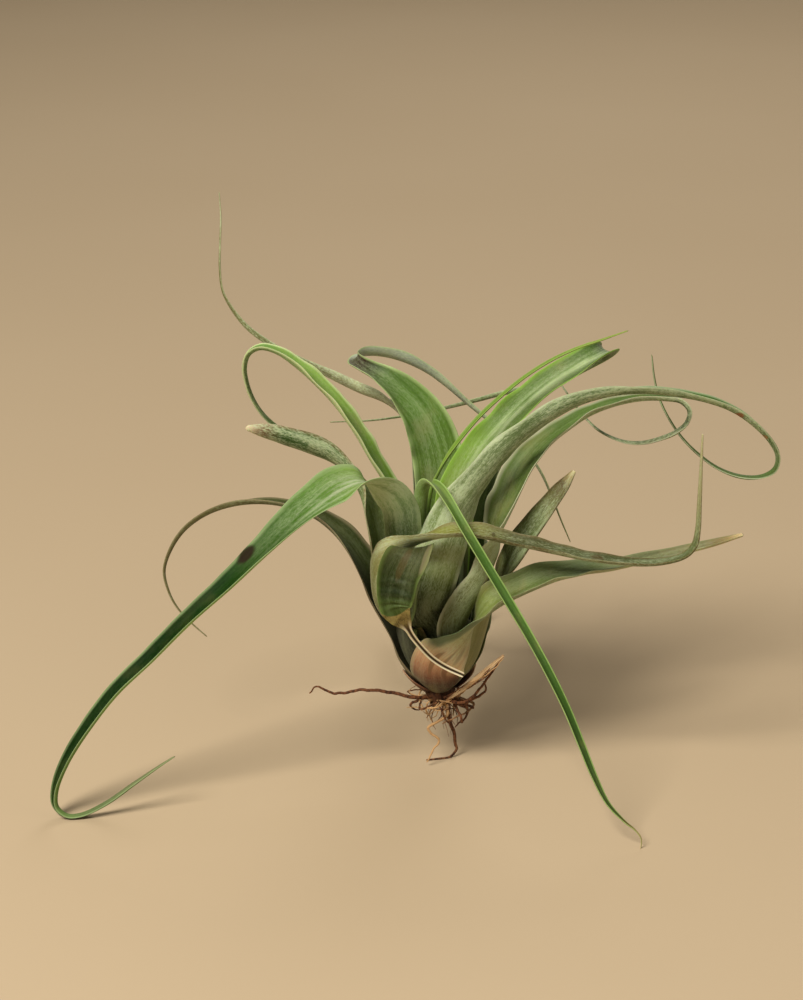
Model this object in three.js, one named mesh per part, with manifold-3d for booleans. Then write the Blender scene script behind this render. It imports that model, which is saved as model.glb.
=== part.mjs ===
// Curly air plant: a rosette of channelled, curling leaves on a short stem with a tuft of roots.
// Picked and resting on a table: millimetres, +Z up, the front of the plant towards -Y.
import * as THREE from 'three';
import { mergeVertices } from 'three/addons/utils/BufferGeometryUtils.js';
import Module from 'manifold-3d';

const wasm = await Module();
wasm.setup();

// Driving dimensions of the plant
const FOOT_HEIGHT = 23; // underside of the rosette above the table
const BLADE_MIDDLE = 0.7; // thickness of a thin blade along its middle
const BLADE_SWELL = 0.035; // extra thickness for each mm of width
const BLADE_MARGIN = 0.6; // thickness along both margins
const NARROWEST = 0.8; // width at the very tip
const CLEARANCE = 0.3; // gap between pieces that touch on the plant
const ACROSS = 4; // flat strips across a blade
const RING_LENGTH = 15; // longest step along a blade
const RING_TURN = THREE.MathUtils.degToRad(20); // largest turn in a step
const FINE_STEPS = 12; // measuring steps between two stations
const ROUNDING = 1e-9; // slack for sums of small steps
const WELD = 1e-4; // corners closer than this are one

// The front view that the leaf stations are measured in: from in front and a little above
const VIEW_PITCH = THREE.MathUtils.degToRad(20);
const VIEW_DISTANCE = 800;
const VIEW_CENTRE = { right: -11.55, up: 57 };
const RIGHT = new THREE.Vector3(1, 0, 0);
const UP = new THREE.Vector3(0, Math.sin(VIEW_PITCH), Math.cos(VIEW_PITCH));
const NEAR = new THREE.Vector3(0, -Math.cos(VIEW_PITCH), Math.sin(VIEW_PITCH));
const FOOT = new THREE.Vector3(0, 0, FOOT_HEIGHT);
const EYE = inView(VIEW_CENTRE.right, VIEW_CENTRE.up, VIEW_DISTANCE).add(FOOT);

function inView(right, up, near) {
  const v = RIGHT.clone().multiplyScalar(right);
  return v.addScaledVector(UP, up).addScaledVector(NEAR, near);
}

// A place seen right of and above the foot, at a distance back from it
function seen(right, up, back) {
  const facing = inView(right, up, 0).add(FOOT).sub(EYE);
  return facing.multiplyScalar((back - EYE.y) / facing.y).add(EYE);
}

// Smooth curve through rows of numbers whose first three are a place
function curveThrough(rows) {
  const before = rows[0].map((v, k) => 2 * v - rows[1][k]);
  const after = rows.at(-1).map((v, k) => 2 * v - rows.at(-2)[k]);
  const points = [before, ...rows, after];
  const knots = [0];
  for (let i = 1; i < points.length; i++) {
    const gap = Math.hypot(...[0, 1, 2].map((k) => points[i][k] - points[i - 1][k]));
    knots.push(knots[i - 1] + Math.sqrt(gap));
  }
  const blend = (a, b, ta, tb, t) => a.map((v, k) => v + ((b[k] - v) * (t - ta)) / (tb - ta));
  return (segment, part) => {
    const [p0, p1, p2, p3] = points.slice(segment, segment + 4);
    const [t0, t1, t2, t3] = knots.slice(segment, segment + 4);
    const t = t1 + (t2 - t1) * part;
    const a1 = blend(p0, p1, t0, t1, t);
    const a2 = blend(p1, p2, t1, t2, t);
    const a3 = blend(p2, p3, t2, t3, t);
    return blend(blend(a1, a2, t0, t2, t), blend(a2, a3, t1, t3, t), t1, t2, t);
  };
}

// The bulb: sheaths nest on the stem, the inner ones attached higher and closer to the axis
const SHEATH_HALF = THREE.MathUtils.degToRad(50);
const SHEATH_HEIGHTS = [0, 4, 9, 15, 22, 30];
const SHEATH_SWELL = 9; // height over which a sheath rounds out from the stem
const SHEATH_WIDENING = 1.25; // width of a sheath against the first seen station
const JOIN_LENGTH = 5; // height left for a sheath to turn into its blade
const HEART_HEIGHT = 13; // attachment of the innermost leaves above the foot
const LEVEL_DROP = 2.2; // how much lower each level is attached
const ATTACH_RADIUS = { heart: 3, perLevel: 0.4 }; // where a sheath leaves the stem
const FULL_RADIUS = { heart: 6.2, perLevel: 2.1 }; // where it is widest
const attachHeight = (level) => HEART_HEIGHT - LEVEL_DROP * level;
const attachRadius = (level) => ATTACH_RADIUS.heart + ATTACH_RADIUS.perLevel * level;
const fullRadius = (level) => FULL_RADIUS.heart + FULL_RADIUS.perLevel * level;

// How deep a section of this width and arc is from its middle to its margins
const sectionDepth = (width, arc) => (width / 2) * Math.tan(arc / 4);

function sheathRadius(level, height) {
  const swell = 1 - Math.exp(-(height - attachHeight(level)) / SHEATH_SWELL);
  return attachRadius(level) + (fullRadius(level) - attachRadius(level)) * swell;
}

// Rows hold place, width, arc of the section, and the direction that the upper face looks in
function sheathRow(level, azimuth, height, width) {
  const radius = sheathRadius(level, height);
  const chord = Math.min(width, 2 * radius * Math.sin(SHEATH_HALF));
  const half = Math.asin(chord / (2 * radius));
  const middle = radius - sectionDepth(chord, 2 * half) / 2;
  const [cos, sin] = [Math.cos(azimuth), Math.sin(azimuth)];
  return [middle * cos, middle * sin, FOOT_HEIGHT + height, chord, 2 * half, -cos, -sin, 0];
}

// Wide blades lie open, narrow ones are channelled, and tips flatten again
const WIDE_ARC = { atNoWidth: 165, perMm: -6 }; // degrees
const TIP_ARC = { atNoWidth: 80, perMm: 27 };
const LEAST_ARC = 60;

function sectionArc(width) {
  const wide = WIDE_ARC.atNoWidth + WIDE_ARC.perMm * width;
  const tip = TIP_ARC.atNoWidth + TIP_ARC.perMm * width;
  return THREE.MathUtils.degToRad(Math.max(LEAST_ARC, Math.min(wide, tip)));
}

function leafRows({ level, azimuth, stations, onTable = false, open = {} }) {
  const turn = THREE.MathUtils.degToRad(azimuth);
  const free = stations.map(([a, b, c, width, ...face], i) => {
    const place = onTable ? [a, b, c] : seen(a, b, c).toArray();
    const looks = onTable ? face : inView(...face).toArray();
    return [...place, width, sectionArc(width) * (open[i] ?? 1), ...looks];
  });
  const reach = free[0][2] - FOOT_HEIGHT;
  const width = SHEATH_WIDENING * stations[0][3];
  const heights = SHEATH_HEIGHTS.map((h) => h + attachHeight(level));
  const sheath = heights.filter((h, i) => i === 0 || h < reach - JOIN_LENGTH);
  return [...sheath.map((h) => sheathRow(level, turn, h, width)), ...free];
}

// Rings along a blade, closer together where it bends
function ringsAlong(rows) {
  const curve = curveThrough(rows);
  const fine = [];
  for (let s = 0; s < rows.length - 1; s++) {
    for (let k = 0; k < FINE_STEPS; k++) fine.push(curve(s, k / FINE_STEPS));
  }
  fine.push(curve(rows.length - 2, 1));
  const frames = fine.map((row, i) => {
    const behind = new THREE.Vector3(...fine[Math.max(i - 1, 0)]);
    const along = new THREE.Vector3(...fine[Math.min(i + 1, fine.length - 1)]).sub(behind).normalize();
    const face = new THREE.Vector3(...row.slice(5));
    face.addScaledVector(along, -face.dot(along)).normalize();
    const side = along.clone().cross(face);
    return { at: new THREE.Vector3(...row), along, face, side, width: row[3], arc: row[4] };
  });
  const cost = [0];
  for (let i = 1; i < frames.length; i++) {
    const [a, b] = [frames[i - 1], frames[i]];
    const turn = a.along.angleTo(b.along) + a.face.angleTo(b.face) / 2;
    cost.push(cost[i - 1] + a.at.distanceTo(b.at) / RING_LENGTH + turn / RING_TURN);
  }
  const count = Math.ceil(cost.at(-1));
  const rings = [];
  for (let n = 0; n <= count; n++) {
    const wanted = (cost.at(-1) * n) / count;
    rings.push(frames[cost.findIndex((c) => c >= wanted - ROUNDING)]);
  }
  return rings;
}

// A curved strip with two faces, two margins and two blunt ends
function bladeGeometry(rings, grow = 0) {
  const places = [];
  for (const { at, face, side, width, arc } of rings) {
    const chord = Math.max(width, NARROWEST) + 2 * grow;
    const radius = chord / (2 * Math.sin(arc / 2));
    const depth = sectionDepth(chord, arc);
    for (let k = 0; k <= ACROSS; k++) {
      const angle = (k / ACROSS - 0.5) * arc;
      const off = (2 * k) / ACROSS - 1;
      const middle = BLADE_MIDDLE + BLADE_SWELL * width;
      const half = (middle + (BLADE_MARGIN - middle) * off * off) / 2 + grow;
      const mid = at.clone().addScaledVector(face, radius * (1 - Math.cos(angle)) - depth / 2);
      mid.addScaledVector(side, radius * Math.sin(angle));
      const out = face.clone().multiplyScalar(Math.cos(angle)).addScaledVector(side, -Math.sin(angle));
      places.push(...mid.clone().addScaledVector(out, half), ...mid.addScaledVector(out, -half));
    }
  }
  const upper = (i, k) => 2 * (i * (ACROSS + 1) + k);
  const lower = (i, k) => upper(i, k) + 1;
  const faces = [];
  for (let i = 0; i < rings.length - 1; i++) {
    for (let k = 0; k < ACROSS; k++) {
      faces.push(upper(i, k), upper(i, k + 1), upper(i + 1, k + 1));
      faces.push(upper(i, k), upper(i + 1, k + 1), upper(i + 1, k));
      faces.push(lower(i, k), lower(i + 1, k + 1), lower(i, k + 1));
      faces.push(lower(i, k), lower(i + 1, k), lower(i + 1, k + 1));
    }
    faces.push(upper(i, 0), upper(i + 1, 0), lower(i + 1, 0));
    faces.push(upper(i, 0), lower(i + 1, 0), lower(i, 0));
    faces.push(upper(i, ACROSS), lower(i + 1, ACROSS), upper(i + 1, ACROSS));
    faces.push(upper(i, ACROSS), lower(i, ACROSS), lower(i + 1, ACROSS));
  }
  const end = rings.length - 1;
  for (let k = 0; k < ACROSS; k++) {
    faces.push(upper(0, k), lower(0, k + 1), upper(0, k + 1));
    faces.push(upper(0, k), lower(0, k), lower(0, k + 1));
    faces.push(upper(end, k), upper(end, k + 1), lower(end, k + 1));
    faces.push(upper(end, k), lower(end, k + 1), lower(end, k));
  }
  const geometry = new THREE.BufferGeometry();
  geometry.setAttribute('position', new THREE.Float32BufferAttribute(places, 3));
  geometry.setIndex(faces);
  return geometry;
}

// Closed meshes to solids for joining and cutting, and back
function toSolid(geometry) {
  const bare = geometry.clone();
  bare.deleteAttribute('normal');
  bare.deleteAttribute('uv');
  const merged = mergeVertices(bare, WELD);
  const corners = [];
  const index = merged.index.array;
  for (let i = 0; i < index.length; i += 3) {
    const [a, b, c] = index.slice(i, i + 3);
    if (a !== b && b !== c && c !== a) corners.push(a, b, c);
  }
  const vertProperties = new Float32Array(merged.attributes.position.array);
  const triVerts = new Uint32Array(corners);
  return new wasm.Manifold(new wasm.Mesh({ numProp: 3, vertProperties, triVerts }));
}

function toGeometry(solid) {
  const { vertProperties, triVerts } = solid.getMesh();
  const geometry = new THREE.BufferGeometry();
  geometry.setAttribute('position', new THREE.BufferAttribute(vertProperties, 3));
  geometry.setIndex(new THREE.BufferAttribute(triVerts, 1));
  geometry.computeVertexNormals();
  return geometry;
}

const aboveTable = (solid) => solid.trimByPlane([0, 0, 1], 0);

function largestPiece(solid) {
  return solid.decompose().sort((a, b) => b.volume() - a.volume())[0];
}

// Leaves from the heart of the rosette outwards. A station is the middle of the blade as the
// front view shows it: right, up, back, width, then which way the upper face looks.
const leaves = [
  {
    name: 'leaf_young_spike', level: 0, azimuth: 270, colour: '#a9b84f',
    stations: [
      [-2.7, 39, -2, 2.2, 0, 0, -1],
      [-3.9, 48.9, -2, 2.2, -0.2, 0.2, -0.9],
      [-3.6, 56.1, -2, 2.2, -0.5, 0.3, -0.7],
      [-1.8, 62.4, -1.5, 2, -0.7, 0.5, -0.2],
      [1.8, 69.3, -0.5, 1.9, -0.65, 0.6, 0.3],
      [6.3, 75.6, 0.5, 1.8, -0.5, 0.65, 0.5],
      [11.7, 81.9, 2.5, 1.7, -0.5, 0.65, 0.5],
      [17.7, 87.6, 4.5, 1.6, -0.5, 0.65, 0.5],
      [24.6, 93.3, 6.5, 1.5, -0.45, 0.7, 0.5],
      [32.4, 98.4, 8.5, 1.4, -0.4, 0.75, 0.5],
      [40.5, 102.3, 10.5, 1.2, -0.35, 0.8, 0.5],
      [48, 104.9, 12, 0.9, -0.35, 0.8, 0.5],
      [56.1, 107.7, 13.5, 0.4, -0.35, 0.8, 0.5],
    ],
  },
  {
    name: 'leaf_front_drooping', level: 0, azimuth: 215, colour: '#5c7a45',
    stations: [
      [-5.7, 39, -4, 4, 0.4, 0, -0.9],
      [-6, 48, -5.5, 4, 0.3, 0.1, -0.95],
      [-6, 55.5, -7, 4, 0.2, 0.4, -0.9],
      [-5.1, 60.6, -9.5, 3.8, 0.1, 0.8, -0.55],
      [-3.3, 62.6, -13, 3.6, 0.1, 1, 0],
      [-0.9, 61.2, -17, 3.6, 0.25, 0.8, 0.5],
      [1.6, 57.9, -21, 3.5, 0.4, 0.5, 0.75],
      [4.2, 53.7, -24.5, 3.1, 0.45, 0.35, 0.8],
      [7.1, 48.6, -27.5, 3.1, 0.45, 0.35, 0.8],
      [13.2, 38.4, -31.5, 3.1, 0.45, 0.35, 0.8],
      [20.4, 26.4, -36, 3, 0.45, 0.35, 0.8],
      [27, 15.3, -40, 2.9, 0.45, 0.35, 0.8],
      [33.3, 3.6, -44, 2.8, 0.45, 0.35, 0.8],
      [38.1, -6.3, -47, 2.6, 0.45, 0.35, 0.8],
      [42.3, -16.5, -50, 2.4, 0.45, 0.35, 0.8],
      [46.2, -26.1, -53, 2.1, 0.45, 0.4, 0.75],
      [50.4, -34.2, -55.5, 1.5, 0.45, 0.5, 0.7],
      [55.5, -39.6, -57, 0.9, 0.45, 0.6, 0.65],
      [58.5, -42, -57.5, 0.6, 0.55, 0.6, 0.5],
      [60.3, -44.5, -57.8, 0.5, 0.8, 0.2, 0.5],
      [60.3, -47.5, -57.8, 0.4, 0.9, 0, 0.4],
    ],
  },
  {
    name: 'leaf_green_loop_left', level: 0, azimuth: 150, colour: '#6f9a45',
    stations: [
      [-6.9, 37.5, 2, 5.5, 0.8, -0.1, 0.5],
      [-8.4, 45.9, 2, 6.9, 0.85, 0.1, 0.5],
      [-11, 54, 1.5, 7.1, 0.85, 0.25, 0.45],
      [-14.8, 61.8, 1, 7.1, 0.8, 0.4, 0.4],
      [-19.4, 69.3, 0, 7.1, 0.75, 0.45, 0.5],
      [-24, 77.1, -1, 6.9, 0.7, 0.5, 0.5],
      [-29.4, 84.9, -2, 7, 0.65, 0.6, 0.5],
      [-35.7, 91.8, -2.5, 6.6, 0.6, 0.65, 0.45],
      [-42.6, 97.8, -2.5, 5.6, 0.5, 0.75, 0.4],
      [-48.6, 101.7, -2, 4.4, 0.25, 0.9, 0.35],
      [-53.7, 102.9, -1, 3.6, -0.2, 0.9, 0.3],
      [-57.3, 101.1, 0.5, 3.1, -0.7, 0.65, 0.2],
      [-58.7, 96.9, 2.5, 2.9, -1, 0.1, 0.2],
      [-57.9, 91.5, 4.5, 2.8, -0.95, -0.2, 0.15],
      [-55.8, 86.4, 6.5, 2.7, -0.9, -0.4, 0.1],
      [-52.8, 82.2, 8.5, 2.6, -0.8, -0.55, 0.05],
      [-48.6, 78.6, 10.5, 2.5, -0.7, -0.7, 0],
      [-42.9, 75.3, 12, 2.2, -0.5, -0.85, 0],
      [-36.9, 72, 13, 1.6, -0.5, -0.85, 0],
      [-31.2, 68.4, 13.5, 0.7, -0.5, -0.85, 0],
    ],
  },
  {
    name: 'leaf_centre_green', level: 1, azimuth: 50, colour: '#7fa54c',
    stations: [
      [5.1, 37.5, 6.5, 10, -0.6, -0.2, 0.75],
      [4.2, 45.9, 6.5, 12, -0.4, 0, 0.9],
      [4.8, 54.6, 7, 13, -0.35, 0.15, 0.9],
      [7.5, 63.3, 8, 13, -0.4, 0.2, 0.88],
      [12.3, 72, 9.5, 11.5, -0.45, 0.3, 0.85],
      [18.6, 79.8, 11.5, 10.2, -0.45, 0.35, 0.8],
      [25.8, 86.7, 13.5, 9.6, -0.4, 0.45, 0.8],
      [33.3, 92.7, 15.5, 9.2, -0.35, 0.55, 0.75],
      [40.8, 97.5, 18, 8.8, -0.3, 0.6, 0.75],
      [46.8, 101.1, 20.5, 8.4, -0.15, 0.75, 0.65],
      [50.1, 102.6, 24.5, 7.2, 0.2, 0.9, 0.4],
      [50.1, 101.7, 29, 5.2, 0.5, 0.7, -0.3],
      [47.4, 99.6, 33, 3.6, 0.6, 0.2, -0.8],
      [42, 96, 36, 2.2, 0.5, -0.1, -0.85],
      [38.4, 93.3, 37.5, 1, 0.45, -0.2, -0.85],
    ],
  },
  {
    name: 'leaf_long_left', level: 1, azimuth: 205, colour: '#9bab7c',
    stations: [
      [-10.8, 39, -5, 11, 0.35, -0.1, -0.93],
      [-11.8, 48.6, -8, 12, 0.35, -0.1, -0.93],
      [-12.9, 54.6, -12, 12, 0.28, 0.32, -0.87],
      [-16.8, 60.3, -16, 12, 0.1, 0.75, -0.35],
      [-23.4, 63.6, -19, 12, -0.07, 0.85, 0.35],
      [-30.6, 61.2, -21, 12.6, -0.15, 0.5, 0.8],
      [-36.6, 57.3, -23, 12, -0.3, 0.5, 0.75],
      [-44.7, 50.7, -25.5, 10.8, -0.45, 0.55, 0.7],
      [-53.9, 41.7, -28, 9.2, -0.55, 0.55, 0.6],
      [-63.6, 32.2, -30.5, 7.6, -0.55, 0.55, 0.6],
      [-75, 21.9, -33, 6.4, -0.55, 0.55, 0.6],
      [-87, 9.9, -35, 6, -0.55, 0.55, 0.6],
      [-97.5, -0.3, -36.5, 5.6, -0.6, 0.5, 0.55],
      [-105.9, -11.1, -37.5, 5.2, -0.65, 0.45, 0.55],
      [-112.5, -21.9, -38.5, 4.6, -0.75, 0.35, 0.5],
      [-115.5, -30.3, -39, 4, -0.95, 0, 0.4],
      [-115.2, -35.1, -39.3, 3.5, -0.85, -0.5, 0.3],
      [-111.9, -37.8, -39.3, 3.1, -0.4, -0.9, 0.2],
      [-107.4, -37.5, -39, 2.9, 0.2, -0.95, 0.1],
      [-99.9, -33.9, -38, 2.7, 0.4, -0.85, 0.1],
      [-91.8, -28.2, -37, 2.3, 0.5, -0.8, 0.1],
      [-84, -22.8, -36, 1.4, 0.5, -0.8, 0.1],
      [-79.8, -20.1, -35.5, 0.7, 0.5, -0.8, 0.1],
    ],
  },
  {
    name: 'leaf_centre_folded', level: 2, azimuth: 125, colour: '#6d9350',
    stations: [
      [-3.6, 39, 11.5, 11, 0.3, -0.1, 0.95],
      [-2.1, 48.9, 12.5, 12.5, 0.15, 0.1, 1],
      [0, 58.2, 13.5, 14.5, 0, 0.15, 1],
      [-0.3, 67.2, 14.5, 15, -0.05, 0.2, 1],
      [-2.1, 75.6, 15.5, 14.5, -0.1, 0.3, 0.95],
      [-5.7, 83.1, 16.5, 12.6, -0.15, 0.45, 0.9],
      [-11.1, 89.4, 18, 10, -0.25, 0.6, 0.75],
      [-16.8, 93.9, 19.5, 7.6, -0.4, 0.75, 0.5],
      [-21.9, 96.6, 22.5, 5.6, -0.5, 0.85, 0.2],
      [-24.9, 98.4, 26.5, 4.6, -0.6, 0.8, -0.1],
      [-25.7, 99.9, 31.5, 4, -0.6, 0.8, -0.1],
      [-23.7, 101.1, 36, 4.6, -0.3, 0.9, -0.3],
      [-19.2, 101.4, 39.5, 4.6, 0, 0.85, -0.5],
      [-13.8, 100.5, 42, 4.5, 0.1, 0.85, -0.5],
      [-8.4, 98.6, 43.5, 4.2, 0.15, 0.85, -0.5],
      [-2.7, 95.4, 45, 3.7, 0.3, 0.85, -0.4],
      [3, 90.9, 46, 3, 0.5, 0.8, -0.3],
      [8.1, 86.4, 47, 2.5, 0.55, 0.75, -0.25],
      [13.2, 82.2, 47.5, 2.1, 0.55, 0.75, -0.25],
      [18.9, 78, 48, 1.9, 0.6, 0.7, -0.25],
      [24.6, 72.8, 48, 1.6, 0.65, 0.65, -0.2],
      [29.7, 66.3, 48, 1.4, 0.7, 0.6, -0.2],
      [33.3, 58.8, 48, 1.2, 0.8, 0.45, -0.1],
      [36, 51.9, 48, 0.9, 0.85, 0.4, 0],
      [39, 44.7, 48, 0.5, 0.85, 0.4, 0],
    ],
  },
  {
    name: 'leaf_back_whip', level: 2, azimuth: 25, colour: '#748a5c',
    stations: [
      [10.2, 37.2, 8, 7, -0.5, 0.3, 0.8],
      [11.7, 47.4, 12, 6.5, -0.5, 0.5, 0.7],
      [14.1, 57.9, 17, 6, -0.5, 0.65, 0.5],
      [17.1, 67.8, 23, 5.2, -0.45, 0.8, 0.3],
      [20.7, 75.9, 29, 4.5, -0.4, 0.85, 0.1],
      [24.9, 82.5, 35, 4, -0.3, 0.9, 0],
      [28.8, 87, 41, 3.6, -0.15, 0.95, -0.1],
      [31.2, 89.7, 46.5, 3.2, 0, 0.95, -0.2],
      [30.9, 90.9, 52, 2.9, 0, 0.95, -0.25],
      [27.9, 90.8, 57, 2.7, 0, 0.9, -0.3],
      [23.4, 90, 60, 2.5, 0, 0.9, -0.3],
      [18, 88.8, 62, 2.3, 0, 0.9, -0.3],
      [12, 87.2, 63, 2.1, 0, 0.9, -0.3],
      [6, 85.7, 64, 1.9, 0, 0.9, -0.3],
      [0, 84.3, 65, 1.7, 0, 0.9, -0.3],
      [-6.6, 83, 66, 1.4, 0, 0.9, -0.3],
      [-13.5, 81.8, 67, 1.1, 0, 0.9, -0.3],
      [-21, 80.9, 68, 0.8, 0, 0.9, -0.3],
      [-32.7, 80.4, 69, 0.4, 0, 0.9, -0.3],
    ],
  },
  {
    name: 'leaf_big_right_loop', level: 2, azimuth: 252, colour: '#8b9a74',
    stations: [
      [-5.2, 24, -10.5, 15, 0, 0, -1],
      [-2.8, 33, -11, 15, 0, 0, -1],
      [-0.6, 40, -11, 14.6, 0, 0.05, -1],
      [1.3, 45.6, -10.8, 14, -0.05, 0.1, -1],
      [5.1, 54, -9.8, 12.5, -0.3, 0.3, -0.9],
      [9.9, 61.2, -9, 11, -0.5, 0.4, -0.75],
      [15.9, 68.4, -7.5, 10, -0.5, 0.5, -0.65],
      [22.8, 75.3, -6, 9.3, -0.45, 0.65, -0.55],
      [30.9, 81.3, -4.5, 8.6, -0.35, 0.75, -0.5],
      [40.2, 86.4, -3, 7.8, -0.2, 0.85, -0.4],
      [50.4, 89.2, -1.5, 6.8, 0, 0.95, -0.15],
      [60.6, 90.1, 0, 6.2, 0.1, 0.97, 0.05],
      [70.5, 89.2, 2, 5.8, 0.2, 0.95, 0.15],
      [79.8, 87.4, 4, 5.3, 0.3, 0.92, 0.2],
      [87.9, 84.4, 6, 4.7, 0.45, 0.85, 0.2],
      [94.5, 79.8, 8, 4, 0.6, 0.75, 0.15],
      [99.3, 74.7, 10, 3.4, 0.8, 0.5, 0.1],
      [101.4, 70.2, 12, 3.1, 0.95, 0.1, 0.1],
      [100.5, 66.3, 14, 2.9, 0.9, -0.4, 0.1],
      [96.6, 64, 16, 2.8, 0.4, -0.9, 0.1],
      [90.6, 63.9, 18, 2.6, -0.1, -1, 0.1],
      [83.7, 66.3, 20, 2.2, -0.4, -0.9, 0],
      [77.7, 70.5, 22.5, 1.9, -0.6, -0.75, 0],
      [72.6, 75.6, 25, 1.6, -0.7, -0.6, 0],
      [68.7, 81.3, 27, 1.4, -0.85, -0.5, 0],
      [65.7, 87.6, 29, 1.3, -0.9, -0.3, 0],
      [64.2, 93.9, 30.5, 1.1, -1, -0.15, 0],
      [63.5, 100.2, 32, 0.6, -1, 0, 0],
    ],
  },
  {
    name: 'leaf_kinked_right', level: 2.9, azimuth: 210, colour: '#77744b',
    stations: [
      [-16.4, 24, -7.5, 9.5, 0.8, 0, -0.6],
      [-18.6, 31.5, -9, 9.5, 0.8, 0.1, -0.55],
      [-17.6, 37.2, -12, 9.3, 0.65, 0.45, -0.6],
      [-14.2, 41.6, -15.5, 9, 0.35, 0.8, -0.45],
      [-9.2, 44.4, -18.5, 8.8, 0.1, 0.97, -0.2],
      [-4, 46, -20.5, 8.6, 0, 0.98, 0.1],
      [1, 47.2, -21.5, 8.4, 0, 0.94, 0.3],
      [6, 47.7, -22.3, 8.1, 0.05, 0.9, 0.42],
      [12, 47.3, -22.8, 7.6, 0.1, 0.88, 0.45],
      [18, 45.9, -23, 7.1, 0.12, 0.88, 0.45],
      [25.5, 44.2, -23.5, 6.4, 0.15, 0.88, 0.45],
      [34.5, 42.1, -24, 5.6, 0.15, 0.88, 0.45],
      [43.5, 40.1, -24, 4.8, 0.12, 0.88, 0.45],
      [52.5, 38.8, -24, 4.2, 0.05, 0.9, 0.45],
      [60.9, 38.1, -24, 3.7, 0, 0.9, 0.45],
      [68.4, 38.7, -24, 3.2, -0.1, 0.88, 0.45],
      [73.8, 40.5, -24, 2.8, -0.3, 0.75, 0.5],
      [76.5, 43.4, -24, 2.5, -0.6, 0.5, 0.55],
      [77.5, 48, -24, 2.1, -0.8, 0.2, 0.55],
      [77.9, 55.5, -23.5, 1.7, -0.8, 0.1, 0.55],
      [78.3, 65.1, -23, 1.2, -0.8, 0.05, 0.55],
      [78.8, 76.5, -22.5, 0.5, -0.8, 0.05, 0.55],
    ],
  },
  {
    name: 'leaf_upper_left_whip', level: 3, azimuth: 100, colour: '#8a8265',
    stations: [
      [-3, 39.6, 16, 8, 0.1, -0.3, 0.95],
      [-3.6, 50.4, 20, 8, 0.1, 0.1, 0.95],
      [-4.5, 61.5, 24, 7.5, 0.1, 0.4, 0.85],
      [-5.7, 71.1, 28, 6.5, 0.1, 0.7, 0.6],
      [-7.8, 78.6, 32, 5.6, 0.1, 0.95, 0.3],
      [-11.7, 84, 36, 6, 0.1, 0.95, 0.1],
      [-17.1, 87.6, 40, 5.6, 0.12, 0.9, -0.25],
      [-24, 90.3, 43, 5.2, 0.15, 0.88, -0.4],
      [-30.9, 93.6, 46, 4.6, 0.2, 0.85, -0.45],
      [-38.4, 97.2, 48.5, 3.6, 0.25, 0.9, -0.3],
      [-45.9, 100.8, 50.5, 3, 0.3, 0.88, -0.3],
      [-52.5, 104.7, 52.5, 2.6, 0.4, 0.8, -0.3],
      [-57.9, 108.9, 54, 2.4, 0.6, 0.65, -0.25],
      [-62.1, 114, 55, 2, 0.8, 0.4, -0.2],
      [-65.1, 119.7, 55.5, 1.6, 0.95, 0.2, -0.1],
      [-66, 126.6, 56, 1.3, 1, 0, 0],
      [-65.9, 134.1, 56, 1.1, 1, 0, 0],
      [-65.7, 141.6, 56, 0.8, 1, 0, 0],
      [-66.2, 149.1, 56, 0.4, 1, 0, 0],
    ],
  },
  {
    name: 'leaf_short_left', level: 3.1, azimuth: 150, colour: '#a3a98c',
    stations: [
      [-16.2, 30, 3.2, 10, 0.85, 0, 0.5],
      [-17.4, 38.1, 4.5, 10, 0.75, 0.05, 0.65],
      [-18.6, 45.6, 5, 10, 0.7, 0.15, 0.7],
      [-20.1, 52.8, 5.5, 10, 0.7, 0.35, 0.6],
      [-22.8, 59.7, 6, 9.6, 0.65, 0.6, 0.3],
      [-26.7, 65.7, 6, 9, 0.5, 0.8, 0],
      [-32.7, 70.4, 6, 9.2, 0.3, 0.8, -0.4],
      [-40.2, 73.7, 5.5, 8.8, 0.25, 0.7, -0.6],
      [-47.7, 76, 5, 7.4, 0.25, 0.7, -0.6],
      [-53.4, 77.5, 4.5, 5.2, 0.25, 0.7, -0.6],
      [-57.9, 78.6, 4, 2, 0.25, 0.7, -0.6],
    ],
  },
  {
    name: 'leaf_back_short', level: 3.2, azimuth: 60, colour: '#6c8351', onTable: true,
    stations: [
      [8, 14, 55, 10, -0.45, -0.85, 0.3],
      [9, 22, 66, 9.5, -0.3, -0.75, 0.6],
      [9, 32, 76, 9, -0.1, -0.5, 0.85],
      [8, 44, 82, 8.4, 0, 0, 1],
      [7, 54, 80, 7.2, 0, 0.5, 0.85],
      [6, 62, 72, 5.8, 0, 0.8, 0.6],
      [5, 68, 60, 4, 0, 0.95, 0.35],
      [4, 72, 48, 1.4, 0, 0.95, 0.3],
    ],
  },
  {
    name: 'leaf_right_inner_loop', level: 3.5, azimuth: 296, colour: '#55703c',
    open: { 5: 1.1, 6: 1.2, 7: 1.25, 8: 1.25, 9: 1.2, 10: 1.1 },
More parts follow.
